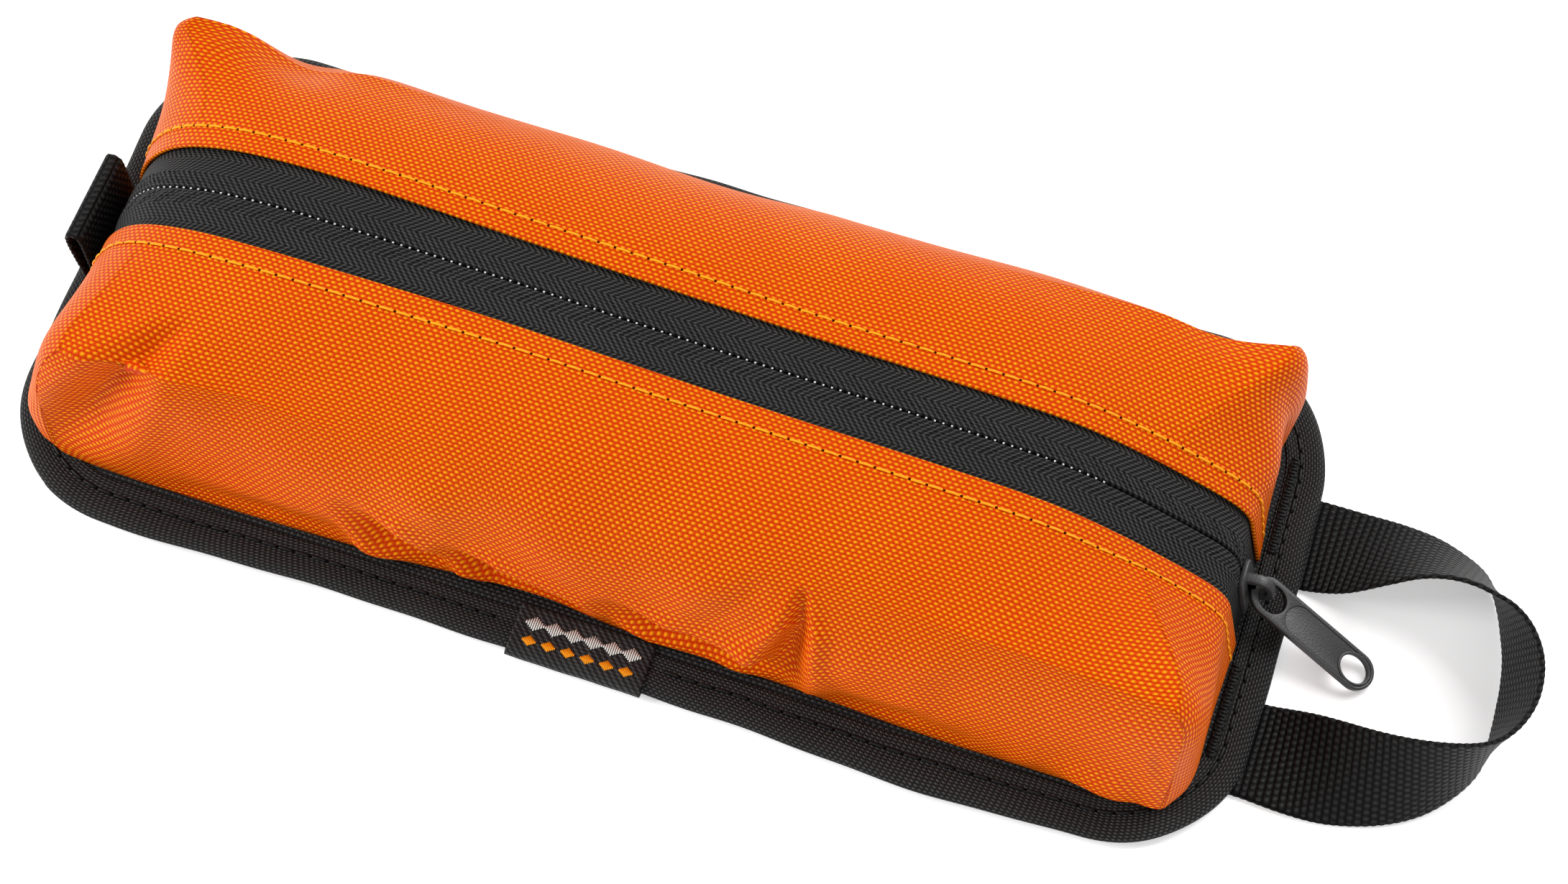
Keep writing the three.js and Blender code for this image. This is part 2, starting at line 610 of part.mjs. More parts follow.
// ---- ballast: sand in a liner welded from two sheets ----
const linerFloor = RIM_TOP + GAP;
const linerOuter = bodySolid(LINER_INSET, linerFloor, 18, 8, 4);
const linerInner = bodySolid(LINER_INSET + LINER_THICK, linerFloor + LINER_THICK, 18, 8, 4);
const liner = linerOuter.subtract(linerInner);
addPiece(
  "liner_lower",
  geometryOf(liner.intersect(block([-FAR, -FAR, 0], [FAR, FAR, LINER_JOIN]))),
  linerFilm,
);
addPiece(
  "liner_upper",
  geometryOf(liner.intersect(block([-FAR, -FAR, LINER_JOIN + GAP], [FAR, FAR, FAR]))),
  linerFilm,
);
const sandFloor = linerFloor + LINER_THICK + GAP;
addPiece("sand_fill", geometryOf(bodySolid(LINER_INSET + LINER_THICK + 0.5, sandFloor, 18, 8, 4)), sandGrain);

export default group;
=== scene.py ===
"""Studio weight bag: the cloth, zip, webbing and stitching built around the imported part.

Lengths inside the shape functions are millimetres. They become metres where a mesh is made.
"""

import math

import bmesh
import bpy
import numpy as np
from mathutils import Matrix, Vector


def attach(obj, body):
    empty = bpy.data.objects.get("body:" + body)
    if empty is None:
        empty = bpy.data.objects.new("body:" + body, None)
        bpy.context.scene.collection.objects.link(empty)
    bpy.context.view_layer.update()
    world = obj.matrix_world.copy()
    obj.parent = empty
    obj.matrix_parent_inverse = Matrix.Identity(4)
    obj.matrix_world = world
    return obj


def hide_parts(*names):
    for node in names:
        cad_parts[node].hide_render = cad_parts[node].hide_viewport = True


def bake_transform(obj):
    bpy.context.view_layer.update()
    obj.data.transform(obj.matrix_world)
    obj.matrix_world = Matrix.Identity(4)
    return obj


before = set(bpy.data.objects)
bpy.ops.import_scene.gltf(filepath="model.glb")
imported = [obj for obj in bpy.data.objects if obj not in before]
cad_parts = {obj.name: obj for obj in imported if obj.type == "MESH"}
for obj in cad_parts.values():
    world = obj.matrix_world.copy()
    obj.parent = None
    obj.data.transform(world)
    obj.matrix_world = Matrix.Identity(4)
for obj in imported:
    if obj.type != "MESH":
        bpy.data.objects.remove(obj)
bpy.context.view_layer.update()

MM = 0.001

# ---- sizes shared with the part, in millimetres ----
BASE_HALF_LENGTH = 158.0
BASE_HALF_WIDTH = 70.0
BASE_CORNER = 35.0
BODY_HALF_LENGTH = 147.0
BODY_HALF_WIDTH = 57.0
BODY_HEIGHT = 50.5
BODY_TILT = 2.0
SIDE_POWER = 3.8
HANDLE_END_POWER = 3.4
TAB_END_POWER = 5.0
CORNER_POWER = 11.0
TOP_TAPER = 0.07
SEAM_HEIGHT = 4.7
FLANGE_TOP = 4.4
ZIP_HALF_OPENING = 11.0
END_LEAN = math.radians(15)
ZIP_FOOT = (146.4, SEAM_HEIGHT)
WEBBING_WIDE = 25.0
HANDLE_HALF_THICK = 0.62
TAB_HALF_THICK = 0.6
LABEL_MIDDLE = -1.7
LABEL_HALF = 17.0


# =====================================================================================
# Mesh helpers
# =====================================================================================

def make_piece(name, points, faces, material, uvs=None):
    """A smooth mesh object from points in millimetres; uvs holds a pair in millimetres per point."""
    mesh = bpy.data.meshes.new(name)
    mesh.from_pydata([tuple(p) for p in np.asarray(points) * MM], [], faces)
    if uvs is not None:
        layer = mesh.uv_layers.new(name="Cloth")
        corner_points = np.empty(len(mesh.loops), dtype=int)
        mesh.loops.foreach_get("vertex_index", corner_points)
        layer.data.foreach_set("uv", (np.asarray(uvs) * MM)[corner_points].ravel())
    mesh.polygons.foreach_set("use_smooth", [True] * len(mesh.polygons))
    mesh.materials.append(material)
    piece = bpy.data.objects.new(name, mesh)
    bpy.context.scene.collection.objects.link(piece)
    return piece


def settle(piece, body, slot, *replaced):
    """Puts a finished piece on its body and hides the nodes that it stands for; slot is not used."""
    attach(piece, body)
    if replaced:
        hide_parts(*replaced)


def grid_faces(rows, columns, around=False):
    """Quads of a grid of points stored row by row; around joins the last column to the first."""
    faces = []
    for r in range(rows - 1):
        for c in range(columns if around else columns - 1):
            d = (c + 1) % columns
            faces.append((r * columns + c, r * columns + d, (r + 1) * columns + d, (r + 1) * columns + c))
    return faces


def join_parts(parts):
    """Several (points, faces, uvs) as one set with the faces renumbered."""
    points, faces, uvs = [], [], []
    count = 0
    for part_points, part_faces, part_uvs in parts:
        points.append(part_points)
        uvs.append(part_uvs)
        faces.extend(tuple(i + count for i in face) for face in part_faces)
        count += len(part_points)
    return np.concatenate(points), faces, np.concatenate(uvs)


def weld_seams(piece):
    """Joins the grids of a piece where their edges meet, and turns its faces outward."""
    mesh = bmesh.new()
    mesh.from_mesh(piece.data)
    bmesh.ops.remove_doubles(mesh, verts=mesh.verts, dist=0.00002)
    bmesh.ops.recalc_face_normals(mesh, faces=mesh.faces)
    mesh.to_mesh(piece.data)
    mesh.free()


def thicken(piece, thickness):
    """Gives a sheet its thickness, inward from the surface it was drawn on, as part of its mesh."""
    solid = piece.modifiers.new("thickness", "SOLIDIFY")
    solid.thickness = thickness * MM
    solid.offset = -1
    graph = bpy.context.evaluated_depsgraph_get()
    made = bpy.data.meshes.new_from_object(piece.evaluated_get(graph))
    piece.modifiers.clear()
    piece.data = made


def unit(vectors):
    lengths = np.linalg.norm(vectors, axis=-1, keepdims=True)
    return vectors / np.maximum(lengths, 1e-9)


def arc_lengths(line):
    steps = np.linalg.norm(np.diff(line, axis=0), axis=1)
    return np.concatenate([[0.0], np.cumsum(steps)])


def values_at(values, lengths, spots):
    """Rows of values, known at the given lengths along a line, at other spots along it."""
    values = np.asarray(values, float)
    return np.stack([np.interp(spots, lengths, values[:, k]) for k in range(values.shape[1])], axis=1)


def smooth_knots(knots, steps):
    """A smooth curve through the knots with the same number of steps between each pair."""
    knots = np.asarray(knots, float)
    padded = np.concatenate([[2 * knots[0] - knots[1]], knots, [2 * knots[-1] - knots[-2]]])
    pieces = []
    t = np.linspace(0, 1, steps, endpoint=False)[:, None]
    for i in range(len(knots) - 1):
        a, b, c, d = padded[i:i + 4]
        pieces.append(0.5 * (2 * b + (c - a) * t + (2 * a - 5 * b + 4 * c - d) * t ** 2
                             + (3 * b - a - 3 * c + d) * t ** 3))
    return np.concatenate(pieces + [knots[-1:]])


def even_line(knots, count):
    """A smooth curve through the knots as evenly spaced points."""
    line = smooth_knots(knots, 24)
    lengths = arc_lengths(line)
    return values_at(line, lengths, np.linspace(0, lengths[-1], count))


def bump_over(x, middle, reach):
    return np.exp(-((x - middle) / reach) ** 2)


# =====================================================================================
# Materials
# =====================================================================================

class Field:
    """A number that varies over a surface, written as a formula and kept as math nodes."""

    def __init__(self, tree, socket):
        self.tree = tree
        self.socket = socket

    def apply(self, operation, *others):
        node = self.tree.nodes.new("ShaderNodeMath")
        node.operation = operation
        for slot, value in zip(node.inputs, (self,) + others):
            if isinstance(value, Field):
                self.tree.links.new(value.socket, slot)
            else:
                slot.default_value = value
        return Field(self.tree, node.outputs[0])

    def __add__(self, other):
        return self.apply("ADD", other)

    def __sub__(self, other):
        return self.apply("SUBTRACT", other)

    def __mul__(self, other):
        return self.apply("MULTIPLY", other)

    def __truediv__(self, other):
        return self.apply("DIVIDE", other)

    def cos(self):
        return self.apply("COSINE")

    def abs(self):
        return self.apply("ABSOLUTE")

    def sign(self):
        return self.apply("SIGN")

    def power(self, exponent):
        return self.apply("POWER", exponent)

    def maximum(self, other):
        return self.apply("MAXIMUM", other)

    def minimum(self, other):
        return self.apply("MINIMUM", other)

    def fraction(self):
        return self.apply("FRACT")

    def floor(self):
        return self.apply("FLOOR")

    def clamped(self):
        return self.maximum(0.0).minimum(1.0)


def start_group(name, inputs):
    """A shader node group that turns a place on the cloth into Height and Over, how far up a yarn is."""
    tree = bpy.data.node_groups.new(name, "ShaderNodeTree")
    tree.interface.new_socket(name="Place", in_out="INPUT", socket_type="NodeSocketVector")
    for label, value in inputs.items():
        socket = tree.interface.new_socket(name=label, in_out="INPUT", socket_type="NodeSocketFloat")
        socket.default_value = value
    for label in ("Height", "Over"):
        tree.interface.new_socket(name=label, in_out="OUTPUT", socket_type="NodeSocketFloat")
    source = tree.nodes.new("NodeGroupInput")
    sink = tree.nodes.new("NodeGroupOutput")
    split = tree.nodes.new("ShaderNodeSeparateXYZ")
    tree.links.new(source.outputs["Place"], split.inputs[0])
    along = Field(tree, split.outputs["X"])
    across = Field(tree, split.outputs["Y"])
    sizes = {label: Field(tree, source.outputs[label]) for label in inputs}
    return tree, sink, along, across, sizes


def end_group(tree, sink, height, over):
    tree.links.new(height.socket, sink.inputs["Height"])
    tree.links.new(over.socket, sink.inputs["Over"])
    return tree


def plain_weave_group():
    """Plain weave: each yarn along and each yarn across passes over and under the others in turn."""
    tree, sink, along, across, size = start_group("plain_weave", {"Along": 0.00082, "Across": 0.00104})
    wave_along = (along / size["Along"] * math.pi).cos()
    wave_across = (across / size["Across"] * math.pi).cos()
    lies_along = wave_across.abs().power(0.9) * (wave_along * wave_across.sign() * 0.42 + 0.58)
    lies_across = wave_along.abs().power(0.5) * (wave_across * wave_along.sign() * -0.5 + 0.5)
    height = lies_along.maximum(lies_across * 0.55)
    return end_group(tree, sink, height, lies_along.power(1.6))


def herringbone_group():
    """Twill lines that lean one way and then the other in narrow stripes along the tape."""
    tree, sink, along, across, size = start_group("herringbone", {"Stripe": 0.0092, "Line": 0.0016})
    folded = ((across / size["Stripe"]).fraction() - 0.5).abs() * size["Stripe"]
    lean = ((along + folded) / size["Line"] * (2 * math.pi)).cos()
    yarn = (across / size["Line"] * (4 * math.pi)).cos()
    height = (lean * 0.42 + yarn * 0.26 + 0.42).clamped()
    return end_group(tree, sink, height, height.power(1.5))


def webbing_group():
    """Webbing: ribs across the strap, each of yarns that step half a pitch from rib to rib."""
    tree, sink, along, across, size = start_group("ribbed_webbing", {"Rib": 0.00175, "Yarn": 0.00085})
    wave = (along / size["Rib"] * math.pi).cos()
    rib = wave.abs().power(0.6)
    yarn = (across / size["Yarn"] * math.pi).cos() * wave.sign()
    height = rib * (yarn * 0.3 + 0.7)
    return end_group(tree, sink, height, height.power(2.2))


WEAVES = {"plain": plain_weave_group(), "herringbone": herringbone_group(), "ribbed": webbing_group()}


def noise(tree, place, scale, detail=2.0):
    node = tree.nodes.new("ShaderNodeTexNoise")
    node.inputs["Scale"].default_value = scale
    node.inputs["Detail"].default_value = detail
    tree.links.new(place, node.inputs["Vector"])
    return Field(tree, node.outputs["Fac"])


def blend_colours(tree, share, low, high):
    mix = tree.nodes.new("ShaderNodeMix")
    mix.data_type = "RGBA"
    mix.inputs["A"].default_value = (*low, 1)
    mix.inputs["B"].default_value = (*high, 1)
    tree.links.new(share.socket, mix.inputs["Factor"])
    return mix.outputs["Result"]


def wander(tree, where, place, amount):
    """Lets the yarns stray a little, as they do in cloth that has been pulled about."""
    drift = tree.nodes.new("ShaderNodeTexNoise")
    drift.inputs["Scale"].default_value = 55
    tree.links.new(where, drift.inputs["Vector"])
    centred = tree.nodes.new("ShaderNodeVectorMath")
    centred.operation = "SUBTRACT"
    centred.inputs[1].default_value = (0.5, 0.5, 0.5)
    tree.links.new(drift.outputs["Color"], centred.inputs[0])
    shifted = tree.nodes.new("ShaderNodeVectorMath")
    shifted.operation = "MULTIPLY_ADD"
    shifted.inputs[1].default_value = (amount, amount, amount)
    tree.links.new(centred.outputs[0], shifted.inputs[0])
    tree.links.new(place, shifted.inputs[2])
    return shifted.outputs[0]


def woven_material(name, weave, low, high, relief, roughness, sizes=None, shine=0.3,
                   shine_tint=(1, 1, 1), slack=0.0, flat_sheet=False):
    """A cloth whose yarns stand out in height and colour, from the sunk colour to the raised one: painted
    shade in the sunk gaps and a painted highlight on the raised yarns.
    """
    material = bpy.data.materials.new(name)
    material.use_nodes = True
    tree = material.node_tree
    nodes, links = tree.nodes, tree.links
    shader = nodes["Principled BSDF"]
    where = nodes.new("ShaderNodeTexCoord").outputs["Object"]
    place = where
    if not flat_sheet:
        uv = nodes.new("ShaderNodeUVMap")
        uv.uv_map = "Cloth"
        place = uv.outputs["UV"]
    if slack:
        place = wander(tree, where, place, slack)
    group = nodes.new("ShaderNodeGroup")
    group.node_tree = WEAVES[weave]
    links.new(place, group.inputs["Place"])
    for label, value in (sizes or {}).items():
        group.inputs[label].default_value = value
    height = Field(tree, group.outputs["Height"])
    over = Field(tree, group.outputs["Over"])
    fuzz = noise(tree, where, 2600, detail=1.0)
    patch = noise(tree, where, 30, detail=3.0)
    # The share paints a highlight onto the raised yarns and shade into the gaps, varied at random by fuzz and
    # patch.
    share = (over * ((fuzz - 0.5) * 0.9 + (patch - 0.5) * 0.5 + 1.0)).clamped()
    links.new(blend_colours(tree, share, low, high), shader.inputs["Base Color"])
    rough = (fuzz - 0.5) * 0.15 - height * 0.1 + (roughness + 0.05)
    links.new(rough.socket, shader.inputs["Roughness"])
    shader.inputs["Specular IOR Level"].default_value = shine
    shader.inputs["Specular Tint"].default_value = (*shine_tint, 1)
    bump = nodes.new("ShaderNodeBump")
    bump.inputs["Distance"].default_value = relief
    links.new((height + (fuzz - 0.5) * 0.2).socket, bump.inputs["Height"])
    links.new(bump.outputs["Normal"], shader.inputs["Normal"])
    return material


def moulded_material(name, colour, roughness, grain=0.0, grain_scale=900, shine=0.5, variation=0.15):
    """A moulded, coated or twisted-thread finish with a fine grain."""
    material = bpy.data.materials.new(name)
    material.use_nodes = True
    tree = material.node_tree
    nodes, links = tree.nodes, tree.links
    shader = nodes["Principled BSDF"]
    where = nodes.new("ShaderNodeTexCoord").outputs["Object"]
    speckle = noise(tree, where, grain_scale)
    cloud = noise(tree, where, 60, detail=3.0)
    darker = [c * (1 - variation) for c in colour]
    lighter = [min(1, c * (1 + variation)) for c in colour]
    share = speckle * 0.6 + cloud * 0.4
    links.new(blend_colours(tree, share, darker, lighter), shader.inputs["Base Color"])
    links.new(((speckle - 0.5) * 0.2 + roughness).socket, shader.inputs["Roughness"])
    shader.inputs["Specular IOR Level"].default_value = shine
    if grain:
        bump = nodes.new("ShaderNodeBump")
        bump.inputs["Distance"].default_value = grain
        links.new(speckle.socket, bump.inputs["Height"])
        links.new(bump.outputs["Normal"], shader.inputs["Normal"])
    return material


# Orange cloth: the raised colour is partly the floats' own bright orange and partly a painted highlight on
# their tops; the sunk colour is partly the deeper orange-red of the crossing yarns and partly painted shade
# in the gaps.
orange_nylon = woven_material(
    "orange_nylon", "plain", low=(0.52, 0.014, 0.0002), high=(1.0, 0.36, 0.006), relief=0.0004,
    roughness=0.5, sizes={"Along": 0.00082, "Across": 0.00106}, shine=0.25, shine_tint=(1, 0.5, 0.06),
    slack=0.0014)
# Black cloths: the sunk colour is the black yarn in painted shade, and the lighter raised colour is a painted
# glint on the yarn tops.
black_nylon = woven_material(
    "black_nylon", "plain", low=(0.0015, 0.0015, 0.0017), high=(0.05, 0.05, 0.05), relief=0.0003,
    roughness=0.55, sizes={"Along": 0.00082, "Across": 0.001}, shine=0.12, flat_sheet=True)
binding_weave = woven_material(
    "binding_weave", "plain", low=(0.002, 0.002, 0.002), high=(0.075, 0.074, 0.073), relief=0.00035,
    roughness=0.5, sizes={"Along": 0.0007, "Across": 0.00072}, shine=0.15, slack=0.001)
tape_weave = woven_material(
    "tape_weave", "herringbone", low=(0.001, 0.001, 0.001), high=(0.058, 0.058, 0.058), relief=0.0004,
    roughness=0.65, shine=0.15, slack=0.0005)
strap_weave = woven_material(
    "strap_weave", "ribbed", low=(0.0005, 0.0005, 0.0005), high=(0.022, 0.0218, 0.0215), relief=0.0004,
    roughness=0.5, shine=0.12, slack=0.0005)
label_twill = woven_material(
    "label_twill", "herringbone", low=(0.004, 0.004, 0.004), high=(0.05, 0.05, 0.05), relief=0.00012,
    roughness=0.5, sizes={"Stripe": 0.2, "Line": 0.0018}, shine=0.2)
orange_thread = moulded_material("orange_thread", (1.0, 0.33, 0.008), 0.5, shine=0.15)
black_thread = moulded_material("black_thread", (0.006, 0.006, 0.006), 0.5, shine=0.25)
# The next two finishes colour the needle-hole caps: painted shade for the shadow inside each hole, on orange
# cloth and on black.
needle_hole_painted_shade = moulded_material("needle_hole_painted_shade", (0.035, 0.006, 0.002), 0.9, shine=0.0)
black_hole_painted_shade = moulded_material("black_hole_painted_shade", (0.002, 0.002, 0.002), 0.9, shine=0.0)
white_thread = moulded_material("white_thread", (0.75, 0.74, 0.7), 0.6, shine=0.2)
# Mid grey coil: the grey is a painted highlight, so the coil's tips in the slit show as light dots.
coil_plastic = moulded_material("coil_plastic", (0.62, 0.62, 0.6), 0.3)
coated_metal = moulded_material("coated_metal", (0.03, 0.03, 0.0305), 0.42, grain=0.00008,
                                grain_scale=2400, shine=0.6)
liner_film = moulded_material("liner_film", (0.5, 0.52, 0.53), 0.35)
sand_grains = moulded_material("sand_grains", (0.58, 0.46, 0.27), 0.9, grain=0.0004, grain_scale=1500)


# =====================================================================================
# The filled body
# =====================================================================================

def body_point(u, v, w):
    """The body surface over a unit box: u along, v across, w up. Arrays of any one shape."""
    u, v, w = np.broadcast_arrays(np.asarray(u, float), np.asarray(v, float), np.asarray(w, float))
    end_share = np.abs(u) ** 4 * (1 - np.abs(v) ** 3)
    corner_share = np.abs(u) ** 6 * np.abs(v) ** 3
    end_power = np.where(u > 0, HANDLE_END_POWER, TAB_END_POWER)
    edge_power = SIDE_POWER + (end_power - SIDE_POWER) * end_share
    power = edge_power + (CORNER_POWER - edge_power) * corner_share
    norm = (np.abs(u) ** power + np.abs(v) ** power + np.abs(w) ** power) ** (1 / power)
    height = BODY_HEIGHT - BODY_TILT * u
    z = height * w / norm
    taper = 1 - TOP_TAPER * (z / height) ** 3
    return np.stack([BODY_HALF_LENGTH * u / norm, BODY_HALF_WIDTH * v / norm * taper, z], axis=-1)


# Middle of the zip's outer face as (x, z), from the handle end over the top to the tab end.
ZIP_STATIONS = [
    ZIP_FOOT, (144.5, 11.8), (142.6, 18.9), (140.5, 25.5), (136.6, 29.9), (130.0, 33.6), (121.0, 37.6),
    (112.0, 41.2), (100.0, 44.9), (87.0, 46.9), (60.0, 48.0), (30.0, 48.6), (-10.0, 50.3), (-40.0, 51.9),
    (-85.0, 53.1), (-108.0, 52.0), (-121.0, 49.3), (-131.0, 44.6), (-138.0, 37.6), (-143.2, 28.0),
    (-145.7, 17.0), (-146.3, SEAM_HEIGHT),
]
ZIP_PATH = even_line(ZIP_STATIONS, 500)
ZIP_LENGTH = arc_lengths(ZIP_PATH)[-1]
PATH_TANGENTS = unit(np.gradient(ZIP_PATH, axis=0))
PATH_NORMALS = np.stack([PATH_TANGENTS[:, 1], -PATH_TANGENTS[:, 0]], axis=1)


def path_at(share):
    """(point, outward normal) of the zip line at shares 0..1 of its length, as (x, z) pairs."""
    spots = np.linspace(0, 1, len(ZIP_PATH))
    return values_at(ZIP_PATH, spots, share), unit(values_at(PATH_NORMALS, spots, share))


def opening_at(x):
    """Half the gap between the panels; the cloth is drawn back a little toward the tab end."""
    return ZIP_HALF_OPENING + 1.1 * bump_over(x, -98.0, 42.0)


TOP_COLUMNS = 260
TOP_ROWS = 52
WALL_ROWS = 52
SEAM_SHARE = 0.085
PANEL_LIFT = 0.8  # of the panels' edges above the tape
PANEL_THICKNESS = 0.9


def panel_grids(side):
    """Points of one panel: the main grid (zip edge, over the top, down the wall) and the two ends."""
    even = np.linspace(-1, 1, TOP_COLUMNS)
    u = 0.4 * np.sin(even * math.pi / 2) + 0.6 * even
    v = side * np.linspace(ZIP_HALF_OPENING / BODY_HALF_WIDTH, 1, TOP_ROWS)
    w = np.linspace(1, SEAM_SHARE, WALL_ROWS)
    top = body_point(u[None, :], v[:, None], 1.0)
    wall = body_point(u[None, :], float(side), w[1:, None])
    main = np.concatenate([top, wall])
    handle_end = body_point(1.0, v[None, :], w[:, None])
    tab_end = body_point(-1.0, v[None, :], w[:, None])
    return [main, handle_end, tab_end]


def meet_zip(grids, side):
    """Moves the panel's inner edge onto the zip line and eases the move out across the panel."""
    main, handle_end, tab_end = grids
    edge = np.concatenate([handle_end[::-1, 0], main[0, ::-1][1:], tab_end[1:, 0]])
    lengths = arc_lengths(edge)
    point, normal = path_at(lengths / lengths[-1])
    target = np.stack([point[:, 0] + normal[:, 0] * PANEL_LIFT,
                       side * opening_at(point[:, 0]),
                       point[:, 1] + normal[:, 1] * PANEL_LIFT], axis=1)
    shift = target - edge
    rows = WALL_ROWS - 1
    ease = np.cos(np.linspace(0, math.pi / 2, TOP_ROWS)) ** 1.5
    main[:TOP_ROWS] += ease[:, None, None] * shift[rows:rows + TOP_COLUMNS][::-1][None]
    handle_end += ease[None, :, None] * shift[:rows + 1][::-1][:, None]
    tab_end += ease[None, :, None] * shift[rows + TOP_COLUMNS - 1:][:, None]


def row_lengths(grid, axis):
    """Arc length over a grid from its first row (axis 0) or first column (axis 1)."""
    steps = np.linalg.norm(np.diff(grid, axis=axis), axis=2)
    start = np.zeros_like(steps[:1] if axis == 0 else steps[:, :1])
    return np.concatenate([start, np.cumsum(steps, axis=axis)], axis=axis)


def cloth_places(grids):
    """Where each point lies on the flat cloth: along the zip and away from it."""
    main, handle_end, tab_end = grids
    along = row_lengths(main, axis=1)
    along -= along[:, TOP_COLUMNS // 2, None]
    places = [np.stack([along, row_lengths(main, axis=0)], axis=-1)]
    for grid, column, sign in ((handle_end, -1, 1), (tab_end, 0, -1)):
        down = row_lengths(grid, axis=0)
        places.append(np.stack([along[:TOP_ROWS, column] + sign * down, row_lengths(grid, axis=1)], axis=-1))
    return places


def outward_normals(grid):
    normals = unit(np.cross(np.gradient(grid, axis=1), np.gradient(grid, axis=0)))
    facing = np.sum(normals * (grid - np.array([0, 0, 15])), axis=-1).mean()
    return normals * np.sign(facing)


FOLD_STRENGTH = 1.3


def fold_move(points, normals, stops, ridge):
    """Movement that presses a fold along stops of (x, y, z, depth, width), with low ridges beside it."""
    stops = np.asarray(stops, float)
    best = np.full(points.shape[:-1], np.inf)
    depth = np.zeros_like(best)
    for a, b in zip(stops[:-1], stops[1:]):
        run = b[:3] - a[:3]
        share = np.clip(((points - a[:3]) @ run) / (run @ run), 0, 1)
        nearest = a[:3] + share[..., None] * run
        width = a[4] + share * (b[4] - a[4])
        distance = np.linalg.norm(points - nearest, axis=-1) / width
        closer = distance < best
        best = np.where(closer, distance, best)
        depth = np.where(closer, a[3] + share * (b[3] - a[3]), depth)
    profile = ridge * np.exp(-((best - 1.7) / 0.9) ** 2) - np.exp(-best ** 1.5)
    return normals * (profile * depth * FOLD_STRENGTH)[..., None]


def grab_move(points, centre, move, reach):
    """Movement of the cloth when it is pulled at one place."""
    share = np.exp(-np.sum((points - np.asarray(centre, float)) ** 2, axis=-1) / reach ** 2)
    return share[..., None] * np.asarray(move, float)


# Pulls on each panel as (centre, movement, reach).
FRONT_GRABS = [
    ((-143, -48, 16), (-4.5, -2.0, 0), 15),     # lobe at the tab end
    ((-130, -52, 38), (-3.0, -1.0, -1.5), 12),
    ((-104, -50, 42), (0, -0.8, 1.0), 9),
    ((-10, -54, 27), (0, -2.6, 0.5), 14),       # bulges between the hollows of the base seam
    ((-75, -55, 26), (0, -1.8, 0), 16),
    ((-44, -54, 32), (0, -1.8, 1.2), 9),
    ((28, -55, 30), (0, -2.4, 1.0), 12),
    ((62, -55, 24), (0, -1.8, 0.4), 9),
    ((84, -55, 30), (0, -1.8, 0.6), 14),
    ((106, -55, 18), (0, -1.5, 0), 10),
    ((126, -54, 12), (0, -1.8, 0), 7),
    ((132, -53, 30), (2.0, -1.8, 0.5), 14),     # corner at the handle end
    ((140, -48, 12), (2.0, -1.5, 0), 12),
    ((128, -56, 6), (0, -2.6, 0), 9),
    ((133, -46, 46), (1.5, -0.5, 0.5), 10),
]
BACK_GRABS = [
    ((-134, 46, 48), (-6.5, -2.0, 3.0), 13),    # the pointed corner at the tab end
    ((-139, 40, 34), (-3.0, 0, 0), 14),
    ((-136, 52, 46), (0, -3.5, 1.0), 8),
    ((-113, 50, 45), (0, -3.0, -5.0), 12),      # and the dip beside it
    ((80, 50, 46), (0, 1.5, 2.0), 34),
    ((122, 50, 44), (0, -1.5, -2.2), 11),
    ((134, 47, 44), (5.0, 0.5, 1.5), 11),       # the blunt corner at the handle end
    ((141, 46, 22), (2.5, 1.5, 0), 16),
]

# Folds and hollows as stops of (x, y, z, depth, width), each with the share of its raised border.
FRONT_FOLDS = [
    (((-108, -34, 50, 0.2, 2.0), (-114, -42, 48, 2.6, 3.6), (-120, -51, 42, 4.6, 5.2),
      (-128, -56, 27, 5.0, 6.4), (-137, -58, 12, 2.0, 5.5)), 0.28),
    (((-155, -44, 14, 0.6, 2.4), (-148, -56, 10, 1.4, 2.6), (-139, -58, 11, 0.4, 2.4)), 0.3),
    (((-104, -58, 8, 0.5, 4.0), (-86, -58, 10, 2.6, 5.0), (-68, -58, 12, 1.2, 5.0)), 0.3),
    (((-62, -56, 25, 0.8, 3.0), (-53, -58, 17, 4.6, 4.2), (-42, -58, 10, 1.8, 4.0)), 0.5),
    (((-38, -57, 17, 1.0, 3.0), (-26, -58, 12, 5.2, 4.2), (-8, -59, 11, 3.4, 3.6)), 0.5),
    (((4, -58, 17, 1.0, 3.4), (16, -59, 13, 4.8, 4.0), (38, -58, 12, 3.4, 4.0)), 0.5),
    (((47.5, -48, 39, 0.8, 1.2), (48.0, -55, 30, 4.0, 2.8), (46.0, -58, 17, 5.4, 4.6),
      (44.0, -58, 8, 2.4, 5.0)), 0.55),
    (((36, -50, 37, 0.6, 3.0), (30, -55, 28, 1.2, 5.0), (24, -57, 20, 0.6, 4.0)), 0.3),
    (((64, -58, 9, 0.8, 4.0), (78, -59, 11, 2.6, 5.0), (90, -58, 9, 0.8, 4.0)), 0.35),
    (((90, -52, 40, 0.3, 5.0), (86, -57, 28, 1.2, 6.0), (84, -58, 20, 0.4, 5.0)), 0.3),
    (((110, -58, 8, 0.6, 3.0), (118, -60, 8, 3.0, 3.2), (126, -60, 7, 0.8, 3.0)), 0.45),
    (((133, -53, 30, 0.2, 1.5), (137, -57, 18, 1.8, 2.0), (139, -58, 6, 3.4, 2.2)), 0.35),
    (((-60, -30, 53, 0.5, 12.0), (-92, -46, 48, 1.0, 10.0)), 0.2),
    (((20, -30, 50, 0.3, 9.0), (0, -48, 44, 0.9, 10.0)), 0.2),
]
